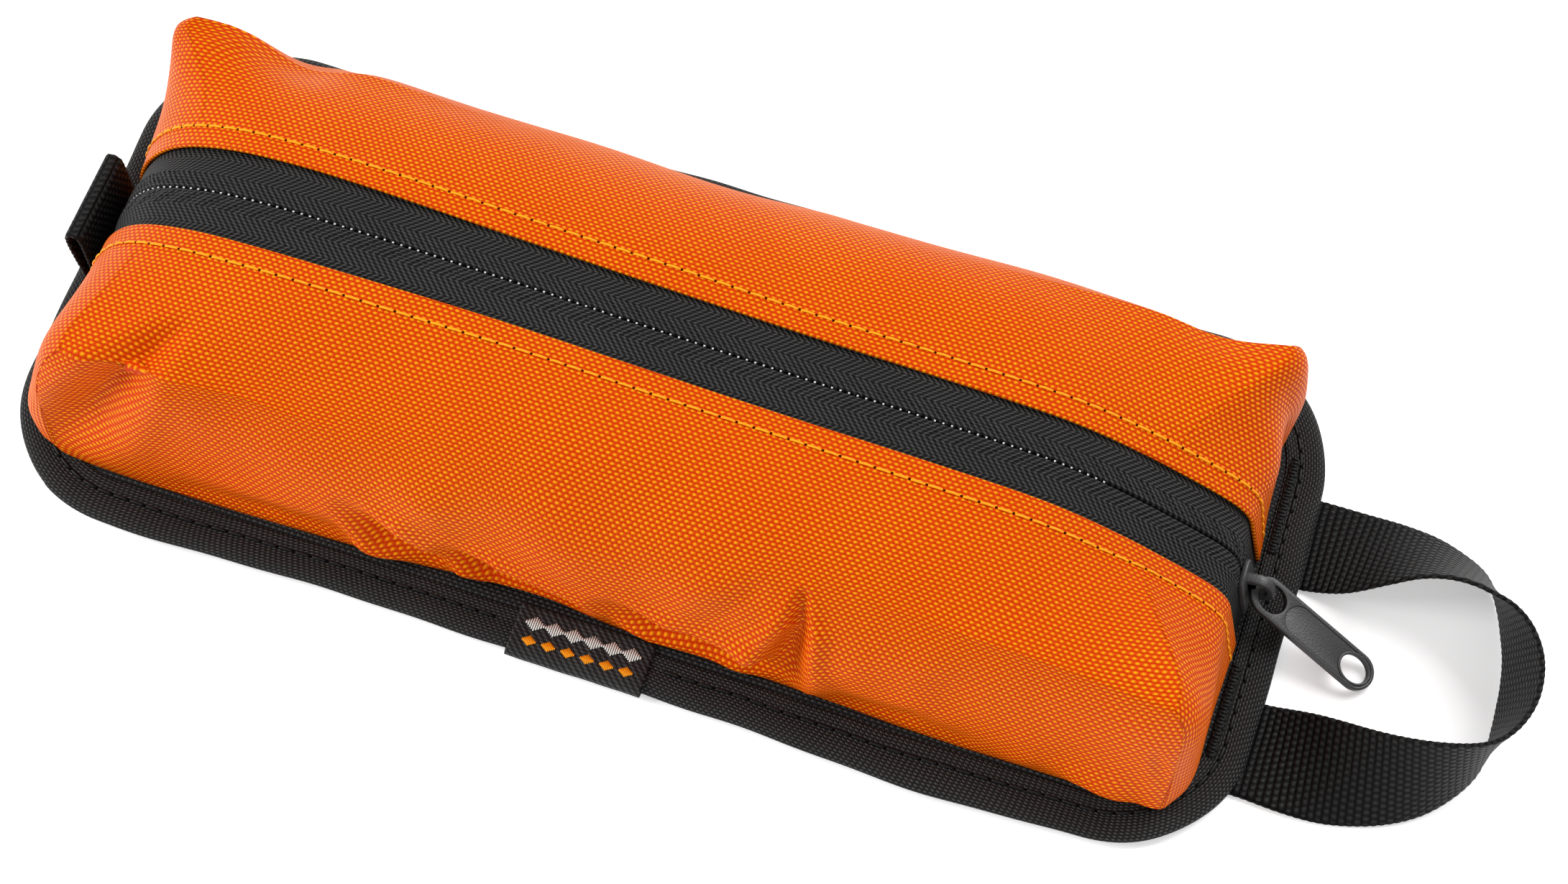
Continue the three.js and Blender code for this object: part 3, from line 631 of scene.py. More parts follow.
BACK_FOLDS = [
    (((-136, 40, 47, 0.4, 3.0), (-128, 47, 41, 2.2, 4.0), (-118, 54, 30, 2.0, 6.0)), 0.4),
    (((-112, 56, 18, 0.5, 6.0), (-98, 57, 10, 3.0, 6.0), (-80, 57, 9, 0.5, 5.0)), 0.4),
    (((-62, 56, 22, 0.5, 5.0), (-48, 57, 11, 3.2, 5.0), (-30, 57, 8, 0.6, 4.0)), 0.4),
    (((-18, 57, 8, 0.5, 4.0), (0, 57, 13, 2.6, 6.0), (18, 56, 24, 0.6, 5.0)), 0.4),
    (((38, 57, 8, 0.5, 4.0), (54, 57, 12, 3.2, 5.0), (74, 57, 9, 0.5, 4.0)), 0.4),
    (((92, 56, 20, 0.5, 5.0), (104, 57, 10, 2.8, 5.0), (120, 57, 8, 0.5, 4.0)), 0.4),
    (((137, 40, 40, 0.5, 5.0), (143, 36, 24, 2.4, 6.0), (146, 34, 8, 1.2, 5.0)), 0.3),
]


def front_foot_shift(x):
    """How far the front panel's foot strays outward: wide at both ends, drawn in left of the middle."""
    end_share = 1 - np.exp(-(np.abs(x + 5.0) / 80.0) ** 4)
    return 4.4 * end_share - 3.0 * bump_over(x, -20.0, 18.0)


def slow_swell(points, side):
    """Uneven filling under the cloth: no stretch of it is quite flat."""
    x, y, z = points[..., 0], points[..., 1], points[..., 2]
    return (0.55 * np.sin(x / 21.0 + 2.0 * side) * np.sin(y / 13.0 + 0.6)
            + 0.35 * np.sin(x / 9.5 + 2.1 * side) * np.cos(z / 10.0 + 0.4)
            + 0.5 * np.sin(x / 5.2 + 0.5 * side) * bump_over(z, 8.0, 6.0))


def shape_grid(grid, side, grabs, folds):
    """The pulls, folds and swells of one panel, held back at its zip edge and at the base seam."""
    normals = outward_normals(grid)
    move = normals * slow_swell(grid, side)[..., None]
    for centre, pull, reach in grabs:
        move += grab_move(grid, centre, pull, reach)
    for stops, ridge in folds:
        move += fold_move(grid, normals, stops, ridge)
    from_zip = np.clip((np.abs(grid[..., 1]) - opening_at(grid[..., 0])) / 10.0, 0, 1)
    from_seam = np.clip((grid[..., 2] - SEAM_HEIGHT) / 4.0, 0, 1)
    shaped = grid + move * (from_zip * from_seam ** 0.7)[..., None]
    if side < 0:
        low_share = np.clip(1 - grid[..., 2] / 40.0, 0, 1) * np.clip(-grid[..., 1] / 40.0, 0, 1)
        shaped[..., 1] -= front_foot_shift(grid[..., 0]) * low_share
    return shaped


def build_panel(label, side, grabs, folds):
    grids = panel_grids(side)
    meet_zip(grids, side)
    places = cloth_places(grids)
    grids = [shape_grid(grid, side, grabs, folds) for grid in grids]
    parts = []
    for grid, uv in zip(grids, places):
        parts.append((grid.reshape(-1, 3), grid_faces(*grid.shape[:2]), uv.reshape(-1, 2)))
    points, faces, uvs = join_parts(parts)
    piece = make_piece(label + "_panel_cloth", points, faces, orange_nylon, uvs)
    weld_seams(piece)
    thicken(piece, PANEL_THICKNESS)
    settle(piece, "bag", "orange_fabric", label + "_panel")
    return grids


front_grids = build_panel("front", -1, FRONT_GRABS, FRONT_FOLDS)
back_grids = build_panel("back", 1, BACK_GRABS, BACK_FOLDS)


# =====================================================================================
# Stitching
# =====================================================================================

def thread_run(line, ups, radius, sides=6):
    """A round thread along a line, flattened a little against the cloth: (points, faces, uvs)."""
    tangents = unit(np.gradient(line, axis=0))
    across = unit(np.cross(ups, tangents))
    lift = np.cross(tangents, across)
    angles = np.linspace(0, 2 * math.pi, sides, endpoint=False)
    ring = [line + across * (radius * math.cos(a)) + lift * (radius * 0.8 * math.sin(a)) for a in angles]
    points = np.stack(ring, axis=1).reshape(-1, 3)
    faces = grid_faces(len(line), sides, around=True)
    faces.append(tuple(range(sides))[::-1])
    faces.append(tuple(range((len(line) - 1) * sides, len(line) * sides)))
    return points, faces, np.zeros((len(points), 2))


def needle_hole(centre, up, ahead, radius):
    """A small dimple where the needle went through: a flattened cap on the cloth, dark with painted shade for
    the hole.
    """
    side = np.cross(up, ahead)
    points = [centre + up * 0.1]
    for angle in np.linspace(0, 2 * math.pi, 8, endpoint=False):
        points.append(centre + ahead * (radius * math.cos(angle)) + side * (radius * math.sin(angle)))
    faces = [(0, 1 + k, 1 + (k + 1) % 8) for k in range(8)]
    return np.array(points), faces, np.zeros((9, 2))


STITCH_ARCH = np.array([-0.6, 0.1, 0.75, 1.0, 1.0, 0.75, 0.1, -0.6])


def stitch_row(name, line, ups, material, hole_material, pitch, length, radius, rise=0.25):
    """Separate stitches along a line, each rising from the cloth and sinking back, with the needle holes."""
    lengths = arc_lengths(line)
    threads, holes = [], []
    for i in range(int((lengths[-1] - length) / pitch)):
        start = (i + 0.5) * pitch
        spots = start + np.linspace(0, length, len(STITCH_ARCH))
        run = values_at(line, lengths, spots)
        up = unit(values_at(ups, lengths, spots))
        threads.append(thread_run(run + up * (STITCH_ARCH * rise + radius * 0.4)[:, None], up, radius))
        ahead = unit(run[-1] - run[0])
        gap = values_at(line, lengths, [start + length + (pitch - length) / 2])[0]
        holes.append(needle_hole(gap + up[-1] * 0.05, up[-1], ahead, 0.34))
    points, faces, uvs = join_parts(threads + holes)
    piece = make_piece(name, points, faces, material, uvs)
    piece.data.materials.append(hole_material)
    hole_faces = sum(len(h[1]) for h in holes)
    indices = [0] * (len(faces) - hole_faces) + [1] * hole_faces
    piece.data.polygons.foreach_set("material_index", indices)
    return piece


def line_from_zip(grids, distance):
    """A line on a panel at a distance from its zip edge, with the surface's normals."""
    main, handle_end, tab_end = grids
    columns = [handle_end[k] for k in range(WALL_ROWS - 1, 0, -1)]
    columns += [main[:TOP_ROWS, i] for i in range(TOP_COLUMNS - 1, -1, -1)]
    columns += [tab_end[k] for k in range(1, WALL_ROWS)]
    line, across = [], []
    for column in columns:
        reach = arc_lengths(column)
        line.append(values_at(column, reach, [distance])[0])
        near, far = values_at(column, reach, [distance - 1, distance + 1])
        across.append(far - near)
    line = np.array(line)
    ups = unit(np.cross(unit(np.gradient(line, axis=0)), unit(np.array(across))))
    outward = np.sum(ups * (line - np.array([0, 0, 20])), axis=1).mean()
    return line, ups * np.sign(outward)


TOPSTITCH_OUT = 5.6
for label, grids in (("front", front_grids), ("back", back_grids)):
    stitch_line, stitch_ups = line_from_zip(grids, TOPSTITCH_OUT)
    row = stitch_row("topstitch_" + label + "_thread", stitch_line, stitch_ups, orange_thread,
                     needle_hole_painted_shade, pitch=4.2, length=3.4, radius=0.32, rise=0.16)
    settle(row, "bag", "orange_thread", "topstitch_" + label)


# =====================================================================================
# The zip
# =====================================================================================

# Section of one tape as (distance from the slit, height over the zip line).
TAPE_SECTION = [
    (13.8, -1.2), (12.6, -0.9), (11.4, -0.55), (10.0, -0.3), (8.6, -0.18), (7.2, -0.1), (6.4, -0.02),
    (5.6, 0.16), (4.8, 0.3), (3.9, 0.38), (3.0, 0.42), (2.1, 0.42), (1.2, 0.36), (0.6, 0.2), (0.25, -0.1),
    (0.22, -0.7), (0.22, -1.4),
]
TAPE_STEPS = 1400
COIL_PITCH = 2.1
HEADS_FROM = 62.0  # travel along the zip between which the slit lets the coil be seen
HEADS_TO = 325.0


def zip_frame(share):
    """Points of the zip line and its normals as 3-D vectors."""
    point, normal = path_at(share)
    zero = np.zeros(len(point))
    return (np.stack([point[:, 0], zero, point[:, 1]], axis=1),
            np.stack([normal[:, 0], zero, normal[:, 1]], axis=1))


def sewn_dimples(travel, away):
    """Small pits where the coil is sewn to the tape, in rows that step half a pitch from row to row."""
    depth = np.zeros(np.broadcast(travel, away).shape)
    for row, place in enumerate((1.7, 2.9, 4.1)):
        phase = (travel / COIL_PITCH + 0.5 * row) % 1.0 - 0.5
        depth += np.exp(-((away - place) / 0.38) ** 2 - (phase * COIL_PITCH / 0.45) ** 2)
    return depth


def build_tape(label, side):
    """Half of the zip tape: flat beside the panel, raised over the coil, turned in at the slit."""
    section = np.array(TAPE_SECTION)
    fine = np.linspace(0, arc_lengths(section)[-1], 56)
    section = values_at(section, arc_lengths(section), fine)
    share = np.linspace(0, 1, TAPE_STEPS)
    travel = share * ZIP_LENGTH
    point, normal = zip_frame(share)
    away, high = section[:, 0], section[:, 1]
    ripple = 0.14 * np.sin(travel / 8.3 + side) + 0.08 * np.sin(travel / 3.1 + 2 * side)
    flat_share = np.clip((away - 4) / 6, 0, 1)
    rise = high[None, :] + ripple[:, None] * flat_share[None, :]
    rise = rise - 0.42 * sewn_dimples(travel[:, None], away[None, :])
    grid = point[:, None] + normal[:, None] * rise[..., None]
    grid[..., 1] = side * away
    uv = np.stack(np.broadcast_arrays(travel[:, None], away[None, :]), axis=-1)
    piece = make_piece("zip_tape_" + label + "_weave", grid.reshape(-1, 3),
                       grid_faces(TAPE_STEPS, len(away)), tape_weave, uv.reshape(-1, 2))
    weld_seams(piece)
    settle(piece, "bag", "zip_tape", "zip_tape_" + label)


def coil_heads():
    """The tips of the coil that show in the slit along the upper stretch of the zip; their light grey is a
    painted highlight.
    """
    parts = []
    for travel in np.arange(HEADS_FROM, HEADS_TO, COIL_PITCH):
        point, normal = zip_frame(np.array([travel - 0.22, travel + 0.22]) / ZIP_LENGTH)
        parts.append(thread_run(point - normal * 0.12, normal, 0.24, sides=6))
    return parts


def build_coil(label, side):
    """One row of coil: a plastic wire wound round and round along the edge of its tape."""
    start, end = 3.0, ZIP_LENGTH - 8.0
    turns = int((end - start) / COIL_PITCH)
    angle = np.linspace(0, turns * 2 * math.pi, turns * 12)
    travel = start + angle / (2 * math.pi) * COIL_PITCH + (COIL_PITCH / 2 if side > 0 else 0)
    point, normal = zip_frame(travel / ZIP_LENGTH)
    line = point - normal * (2.3 - 1.15 * np.sin(angle))[:, None]
    line[:, 1] += side * (1.75 - 1.95 * np.cos(angle))
    ups = np.broadcast_to([0.0, 1.0, 0.0], line.shape) * side
    parts = [thread_run(line, ups, 0.33, sides=5)]
    if side > 0:
        parts += coil_heads()
    points, faces, uvs = join_parts(parts)
    piece = make_piece("zip_coil_" + label + "_wire", points, faces, coil_plastic, uvs)
    settle(piece, "bag", "coil_plastic", "zip_coil_" + label)


for label, side in (("front", -1), ("back", 1)):
    build_tape(label, side)
    build_coil(label, side)


# =====================================================================================
# Base, binding and their stitches
# =====================================================================================

RIM_COUNT = 900


def base_outline(inset, count=RIM_COUNT):
    """Outline of the base drawn in by inset, as (x, y), counter-clockwise from the middle of +X."""
    half_x, half_y = BASE_HALF_LENGTH - inset, BASE_HALF_WIDTH - inset
    radius = max(BASE_CORNER - inset, 4.0)
    line = [[half_x, 0.0]]
    for sign_x, sign_y, start in ((1, 1, 0), (-1, 1, 90), (-1, -1, 180), (1, -1, 270)):
        for angle in np.radians(np.linspace(start, start + 90, 30)):
            line.append([sign_x * (half_x - radius) + radius * math.cos(angle),
                         sign_y * (half_y - radius) + radius * math.sin(angle)])
    line = np.array(line + [[half_x, 0.0]])
    lengths = arc_lengths(line)
    return values_at(line, lengths, np.linspace(0, lengths[-1], count, endpoint=False))


def rim_stray():
    """(up, out) of the soft flange round the base, in millimetres: it is never quite straight."""
    turn = np.linspace(0, 2 * math.pi, RIM_COUNT, endpoint=False)
    x, y = base_outline(0).T
    front_wave = 2.1 * bump_over(x, -112, 22) - 1.0 * bump_over(x, -58, 18) + 3.2 * bump_over(x, 82, 30)
    out = front_wave * np.clip((-y - 45) / 20, 0, 1)
    out = out - 1.2 * bump_over(y, -35, 22) * (x < -140)
    out = out + 0.3 * np.sin(9 * turn + 0.9) + 0.14 * np.sin(31 * turn + 0.2)
    up = 0.3 * np.sin(5 * turn + 0.4) + 0.22 * np.sin(11 * turn + 1.7) + 0.12 * np.sin(23 * turn)
    return up, out


RIM_UP, RIM_OUT = rim_stray()
RIM_DIRECTION = unit(base_outline(0) - base_outline(8))


def rim_ring(inset, height):
    """A ring round the base at an inset and a height, straying with the flange."""
    freedom = (14.0 - min(inset, 14.0)) / 14.0
    ring = base_outline(inset) + RIM_DIRECTION * (RIM_OUT * freedom)[:, None]
    return np.column_stack([ring, height + RIM_UP * freedom ** 2])


# (inset, height) round the folded tape, from its upper inner edge over the rim to its lower inner edge,
# and round the base cloth, from under the panels over the flange's edge to the flat underside.
BINDING_SECTION = [
    (10.3, 3.75), (10.35, 4.2), (10.1, 4.5), (9.4, 4.58), (8.2, 4.5), (7.2, 4.34), (6.6, 4.24), (6.0, 4.34),
    (5.0, 4.55), (3.8, 4.62), (2.6, 4.5), (1.6, 4.22), (0.8, 3.8), (0.3, 3.25), (0.2, 2.7), (0.5, 2.15),
    (1.2, 1.8), (2.4, 1.66), (5.0, 1.62), (10.0, 1.6),
]
BASE_SECTION = [
    (26.0, 4.3), (16.0, 4.35), (13.0, 4.4), (11.0, 4.3), (10.2, 3.7), (9.0, 3.5), (1.4, 3.4), (1.0, 3.0),
    (1.4, 2.6), (9.6, 2.5), (10.6, 2.0), (11.6, 0.9), (12.6, 0.2), (14.0, 0.0), (20.0, 0.0),
]


def ring_stack(name, section, material, close_ends=False):
    """A surface through rings round the base, one for each (inset, height)."""
    rings = np.stack([rim_ring(inset, height) for inset, height in section])
    rings = np.concatenate([rings, rings[:, :1]], axis=1)
    around = arc_lengths(rings[len(section) // 2])
    down = arc_lengths(np.array(section))
    uv = np.stack(np.broadcast_arrays(around[None, :], down[:, None]), axis=-1)
    faces = grid_faces(len(section), RIM_COUNT + 1)
    if close_ends:
        faces.append(tuple(range(RIM_COUNT)))
        last = (len(section) - 1) * (RIM_COUNT + 1)
        faces.append(tuple(range(last, last + RIM_COUNT))[::-1])
    piece = make_piece(name, rings.reshape(-1, 3), faces, material, uv.reshape(-1, 2))
    weld_seams(piece)
    return piece


settle(ring_stack("edge_binding_tape", BINDING_SECTION, binding_weave), "bag", "binding_tape", "edge_binding")
base_cloth = ring_stack("base_cloth", BASE_SECTION, black_nylon, close_ends=True)
settle(base_cloth, "bag", "black_fabric", "base_panel")


STITCH_INSET = 6.6


def rim_runs():
    """Index runs of the flange's stitch row: it stops at the label and under the tab."""
    x, y = base_outline(STITCH_INSET).T
    under_label = (y < 0) & (np.abs(x - LABEL_MIDDLE) < LABEL_HALF + 1)
    under_tab = (x < 0) & (np.abs(y) < WEBBING_WIDE / 2 + 1)
    free = ~(under_label | under_tab)
    start = int(np.argmax(under_tab)) + int(under_tab.sum())
    order = (np.arange(RIM_COUNT) + start) % RIM_COUNT
    runs, run = [], []
    for index in order:
        if free[index]:
            run.append(index)
        elif run:
            runs.append(run)
            run = []
    return runs + ([run] if run else [])


flange_line = rim_ring(STITCH_INSET, 4.28)
for number, run in enumerate(rim_runs(), start=1):
    run_line = flange_line[run]
    run_ups = np.broadcast_to([0.0, 0.0, 1.0], run_line.shape)
    row = stitch_row("flange_stitch_" + str(number), run_line, run_ups, black_thread, black_hole_painted_shade,
                     pitch=4.3, length=3.3, radius=0.42, rise=0.1)
    settle(row, "bag", "black_thread", *(["binding_stitch_1", "binding_stitch_2"] if number == 1 else []))


# =====================================================================================
# Webbing
# =====================================================================================

RIB_PITCH = 1.75


def webbing_section(half_wide, half_thick):
    """Section of webbing with round selvedges: (across, through)."""
    across = np.concatenate([np.linspace(-0.94, 0.94, 25), [0.985, 1.0, 0.985],
                             np.linspace(0.94, -0.94, 25), [-0.985, -1.0, -0.985]])
    through = np.concatenate([np.full(25, 1.0), [0.7, 0, -0.7], np.full(25, -1.0), [-0.7, 0, 0.7]])
    return np.column_stack([across * half_wide, through * half_thick])


def build_webbing(name, near_edge, far_edge, half_thick, wide=WEBBING_WIDE):
    """A ribbed strap between two edge lines of evenly matched points."""
    centres = (near_edge + far_edge) / 2
    lengths = arc_lengths(centres)
    count = int(lengths[-1] / (RIB_PITCH / 4))
    spots = np.linspace(0, lengths[-1], count)
    centres = values_at(centres, lengths, spots)
    acrosses = unit(values_at(near_edge - far_edge, lengths, spots))
    tangents = unit(np.gradient(centres, axis=0))
    throughs = unit(np.cross(acrosses, tangents))
    section = webbing_section(wide / 2, half_thick)
    rib = 0.16 * np.abs(np.cos(spots / RIB_PITCH * math.pi)) - 0.1
    swell = 1 + rib[:, None, None] / half_thick
    bead = 1 + 0.012 * np.abs(np.cos(spots / RIB_PITCH * math.pi))[:, None, None]
    rings = (centres[:, None] + acrosses[:, None] * section[None, :, :1] * bead
             + throughs[:, None] * section[None, :, 1:] * swell)
    sides = len(section)
    around = arc_lengths(section)
    uv = np.stack(np.broadcast_arrays(spots[:, None], around[None, :]), axis=-1)
    faces = grid_faces(count, sides, around=True)
    faces.append(tuple(range(sides))[::-1])
    faces.append(tuple(range((count - 1) * sides, count * sides)))
    piece = make_piece(name, rings.reshape(-1, 3), faces, strap_weave, uv.reshape(-1, 2))
    weld_seams(piece)
    return piece


FLAT = 0.8  # middle of the webbing over the floor where it lies flat
LOOP_EDGES = [  # (inner edge, outer edge): the inner one rises and leans outward round the bend
    ((147.5, 9.0, FLAT), (147.5, 34.0, FLAT)),
    ((153.0, 9.0, FLAT), (153.0, 34.0, FLAT)),
    ((159.2, 9.0, FLAT), (159.2, 34.0, FLAT)),
    ((168.5, 9.7, 4.7), (171.5, 34.2, FLAT)),
    ((177.6, 12.1, 11.8), (181.6, 34.2, FLAT)),
    ((184.1, 14.2, 16.1), (189.1, 33.3, FLAT)),
    ((190.3, 15.0, 19.1), (196.0, 31.0, FLAT)),
    ((196.1, 14.5, 21.1), (200.8, 28.4, FLAT)),
    ((201.3, 12.9, 22.6), (203.9, 24.8, FLAT)),
    ((206.3, 10.6, 24.1), (206.5, 19.6, FLAT)),
    ((210.8, 6.9, 24.6), (208.7, 13.3, FLAT)),
    ((214.4, 1.2, 24.8), (210.4, 6.9, FLAT)),
    ((216.0, -5.0, 24.8), (211.3, 0.0, FLAT)),
    ((215.9, -11.8, 24.8), (211.5, -6.1, FLAT)),
    ((213.8, -18.2, 24.8), (211.6, -11.9, FLAT)),
    ((210.2, -23.4, 24.8), (211.4, -17.6, FLAT)),
    ((205.5, -26.6, 24.8), (209.6, -24.9, FLAT)),
    ((199.3, -28.6, 24.3), (205.3, -32.0, FLAT)),
    ((192.2, -29.4, 22.6), (198.9, -38.7, FLAT)),
    ((184.2, -29.0, 19.3), (190.4, -43.7, FLAT)),
    ((175.8, -27.4, 13.6), (180.0, -46.6, FLAT)),
    ((167.0, -24.6, 6.2), (169.4, -47.9, FLAT)),
    ((159.2, -23.0, FLAT), (159.2, -48.0, FLAT)),
    ((153.0, -23.0, FLAT), (153.0, -48.0, FLAT)),
    ((147.5, -23.0, FLAT), (147.5, -48.0, FLAT)),
]
inner_edge = smooth_knots([edges[0] for edges in LOOP_EDGES], 12)
outer_edge = smooth_knots([edges[1] for edges in LOOP_EDGES], 12)
handle = build_webbing("handle_webbing", inner_edge, outer_edge, HANDLE_HALF_THICK)
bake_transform(handle)
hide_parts("handle_strap", "handle_tail_back", "handle_tail_front")


TAB_STEPS = 90


def build_tab():
    """The short tab: webbing folded double and standing beside the foot of the zip."""
    path = [(-149.1, 4.7), (-149.2, 10), (-149.6, 17), (-149.9, 23.5), (-150.4, 27.5), (-152, 28.6),
            (-153.6, 27.5), (-153.8, 23.5), (-153.1, 17), (-152.1, 10), (-151.4, 4.7)]
    line = even_line(path, TAB_STEPS)
    near_edge = np.column_stack([line[:, 0], np.full(TAB_STEPS, WEBBING_WIDE / 2), line[:, 1]])
    far_edge = near_edge * np.array([1, -1, 1])
    tab = build_webbing("end_tab_webbing", near_edge, far_edge, TAB_HALF_THICK)
    settle(tab, "tab", "webbing", "end_tab_loop")


build_tab()


# =====================================================================================
# Slider and pull
# =====================================================================================

def flat_casting(name, outlines, thickness, bevel):
    """A flat plate with rounded edges from closed outlines in its own XY plane; inner ones are holes."""
    curve = bpy.data.curves.new(name, "CURVE")
    curve.dimensions = "2D"
    curve.fill_mode = "BOTH"
    curve.extrude = (thickness / 2 - bevel) * MM
    curve.bevel_depth = bevel * MM
    curve.bevel_resolution = 2
    curve.offset = -bevel * MM
    for outline in outlines:
        spline = curve.splines.new("POLY")
        spline.points.add(len(outline) - 1)
        for point, (x, y) in zip(spline.points, outline):
            point.co = (x * MM, y * MM, 0, 1)
        spline.use_cyclic_u = True
    holder = bpy.data.objects.new(name, curve)
    bpy.context.scene.collection.objects.link(holder)
    bpy.context.view_layer.update()
    mesh = bpy.data.meshes.new_from_object(holder.evaluated_get(bpy.context.evaluated_depsgraph_get()))
    bpy.data.objects.remove(holder)
    return mesh


def merge_castings(name, castings, place, material):
    """One piece from several (mesh, local matrix), put in place by a matrix in metres."""
    joined = bmesh.new()
    for mesh, local in castings:
        mesh.transform(place @ local)
        joined.from_mesh(mesh)
    bmesh.ops.remove_doubles(joined, verts=joined.verts, dist=1e-6)
    bmesh.ops.recalc_face_normals(joined, faces=joined.faces)
    result = bpy.data.meshes.new(name)
    joined.to_mesh(result)
    joined.free()
    result.materials.clear()
    result.materials.append(material)
    piece = bpy.data.objects.new(name, result)
    bpy.context.scene.collection.objects.link(piece)
    for face in result.polygons:
        face.use_smooth = True
        face.material_index = 0
    result.set_sharp_from_angle(angle=math.radians(38))
    return piece


def ellipse(centre_x, half_x, half_y, count=40):
    angles = np.linspace(0, 2 * math.pi, count, endpoint=False)
    return [(centre_x + half_x * math.cos(a), half_y * math.sin(a)) for a in angles]


def stadium(low_x, high_x, half_y, count=24):
    """An outline with straight sides and round ends between two x values."""
    right = [(high_x - half_y + half_y * math.sin(a), -half_y * math.cos(a))
             for a in np.linspace(0, math.pi, count)]
    left = [(low_x + half_y - half_y * math.sin(a), half_y * math.cos(a))
            for a in np.linspace(0, math.pi, count)]
    return right + left


PLATE_LOW = 0.3
PLATE_THICK = 1.4
BRIDGE_MIDDLE = 8.7
PULL_LENGTH = 38.0
PULL_HALF_WIDE = 4.8
PULL_THICK = 1.8
PULL_END_BAR = 1.0
PULL_TURN = math.radians(-16)

OUTWARD = Vector((math.cos(END_LEAN), 0, math.sin(END_LEAN)))
UPWARD = Vector((-math.sin(END_LEAN), 0, math.cos(END_LEAN)))
SLIDER_PLACE = Matrix((OUTWARD, (0, 1, 0), UPWARD)).transposed().to_4x4()
SLIDER_PLACE.translation = Vector((ZIP_FOOT[0], 0, ZIP_FOOT[1])) * MM


def slider_plate_outline():
    """The slider's shield: blunt at the nose, widest a third up, narrower at the top."""
    half = [(0, 2.2), (3.2, 2.2), (4.2, 2.7), (4.8, 3.6), (4.9, 5.0), (4.85, 8.0), (4.4, 11.5), (3.95, 14.6),
            (3.4, 15.7), (2.4, 16.2), (0, 16.2)]
    return half + [(-x, y) for x, y in reversed(half[1:-1])]


def bridge_outline():
    """Side view of the bridge: a low arch standing on the shield, with room for the pull's end bar."""
    outer = [(1.3, 4.3), (5.2, 4.3), (6.9, 5.0), (7.8, 6.5), (7.9, 8.7), (7.6, 10.9), (6.4, 12.5),
             (4.6, 13.2), (1.3, 13.2)]
    inner = [(1.75, 6.1), (4.6, 6.1), (5.7, 6.8), (6.1, 8.0), (6.0, 9.8), (5.3, 11.0), (4.0, 11.4),
             (1.75, 11.4)]
    return [outer, inner]


def build_slider():
    # A plate drawn in (y, z) of the slider's frame is turned to stand across the zip.
    stand = Matrix(((0, 0, 1, 0), (1, 0, 0, 0), (0, 1, 0, 0), (0, 0, 0, 1)))
    side_on = Matrix(((1, 0, 0, 0), (0, 0, -1, 0), (0, 1, 0, 0), (0, 0, 0, 1)))
    shield = flat_casting("shield", [slider_plate_outline()], PLATE_THICK, 0.4)
    inner = flat_casting("inner_plate", [slider_plate_outline()], PLATE_THICK, 0.3)
    bridge = flat_casting("bridge", bridge_outline(), 2.6, 0.45)
    post = flat_casting("post", [[(-0.5, 2.7), (0.5, 2.7), (0.5, 6.4), (-0.5, 6.4)]], 5.2, 0.15)
    castings = [
        (shield, Matrix.Translation((MM * (PLATE_LOW + PLATE_THICK / 2), 0, 0)) @ stand),
        (inner, Matrix.Translation((MM * -4.8, 0, 0)) @ stand),
        (bridge, side_on),
        (post, Matrix.Translation((MM * -2.0, 0, 0)) @ stand),
    ]
    casting = merge_castings("slider_casting", castings, SLIDER_PLACE, coated_metal)
    settle(casting, "slider", "slider_metal", "slider_body")


def build_pull():
    pivot = SLIDER_PLACE @ (Vector((PLATE_LOW + PLATE_THICK + PULL_END_BAR + 0.6, 0, BRIDGE_MIDDLE)) * MM)
    reach = PULL_LENGTH - PULL_END_BAR
    slope = math.asin((pivot.z / MM - PULL_THICK / 2 - 0.2) / reach)
    place = (Matrix.Translation(pivot) @ Matrix.Rotation(PULL_TURN, 4, "Z")
             @ Matrix.Rotation(slope, 4, "Y"))
    eye = ellipse(PULL_END_BAR + 3.9, 3.9, 3.5)
    hole = ellipse(reach - PULL_HALF_WIDE - 0.7, 4.0, 3.3)
    edge = stadium(-PULL_END_BAR, reach, PULL_HALF_WIDE)
    field = stadium(9.9, reach - 0.9, PULL_HALF_WIDE - 0.95)
    eye_rim = ellipse(PULL_END_BAR + 3.9, 4.6, 4.25)
    hole_rim = ellipse(reach - PULL_HALF_WIDE - 0.7, 4.75, 4.0)
    plate = flat_casting("pull_plate", [edge, eye, hole], PULL_THICK - 0.7, 0.2)
    rim = flat_casting("pull_rim", [edge, field, eye], PULL_THICK, 0.3)
    hole_ring = flat_casting("pull_ring", [hole_rim, hole], PULL_THICK - 0.1, 0.25)
    eye_ring = flat_casting("pull_eye", [eye_rim, eye], PULL_THICK - 0.05, 0.3)
    still = Matrix.Identity(4)
    castings = [(plate, still), (rim, still), (hole_ring, still), (eye_ring, still)]
    casting = merge_castings("pull_casting", castings, place, coated_metal)
    settle(casting, "pull", "slider_metal", "pull_tab")


build_slider()
build_pull()


# =====================================================================================
# Bartacks and label
# =====================================================================================

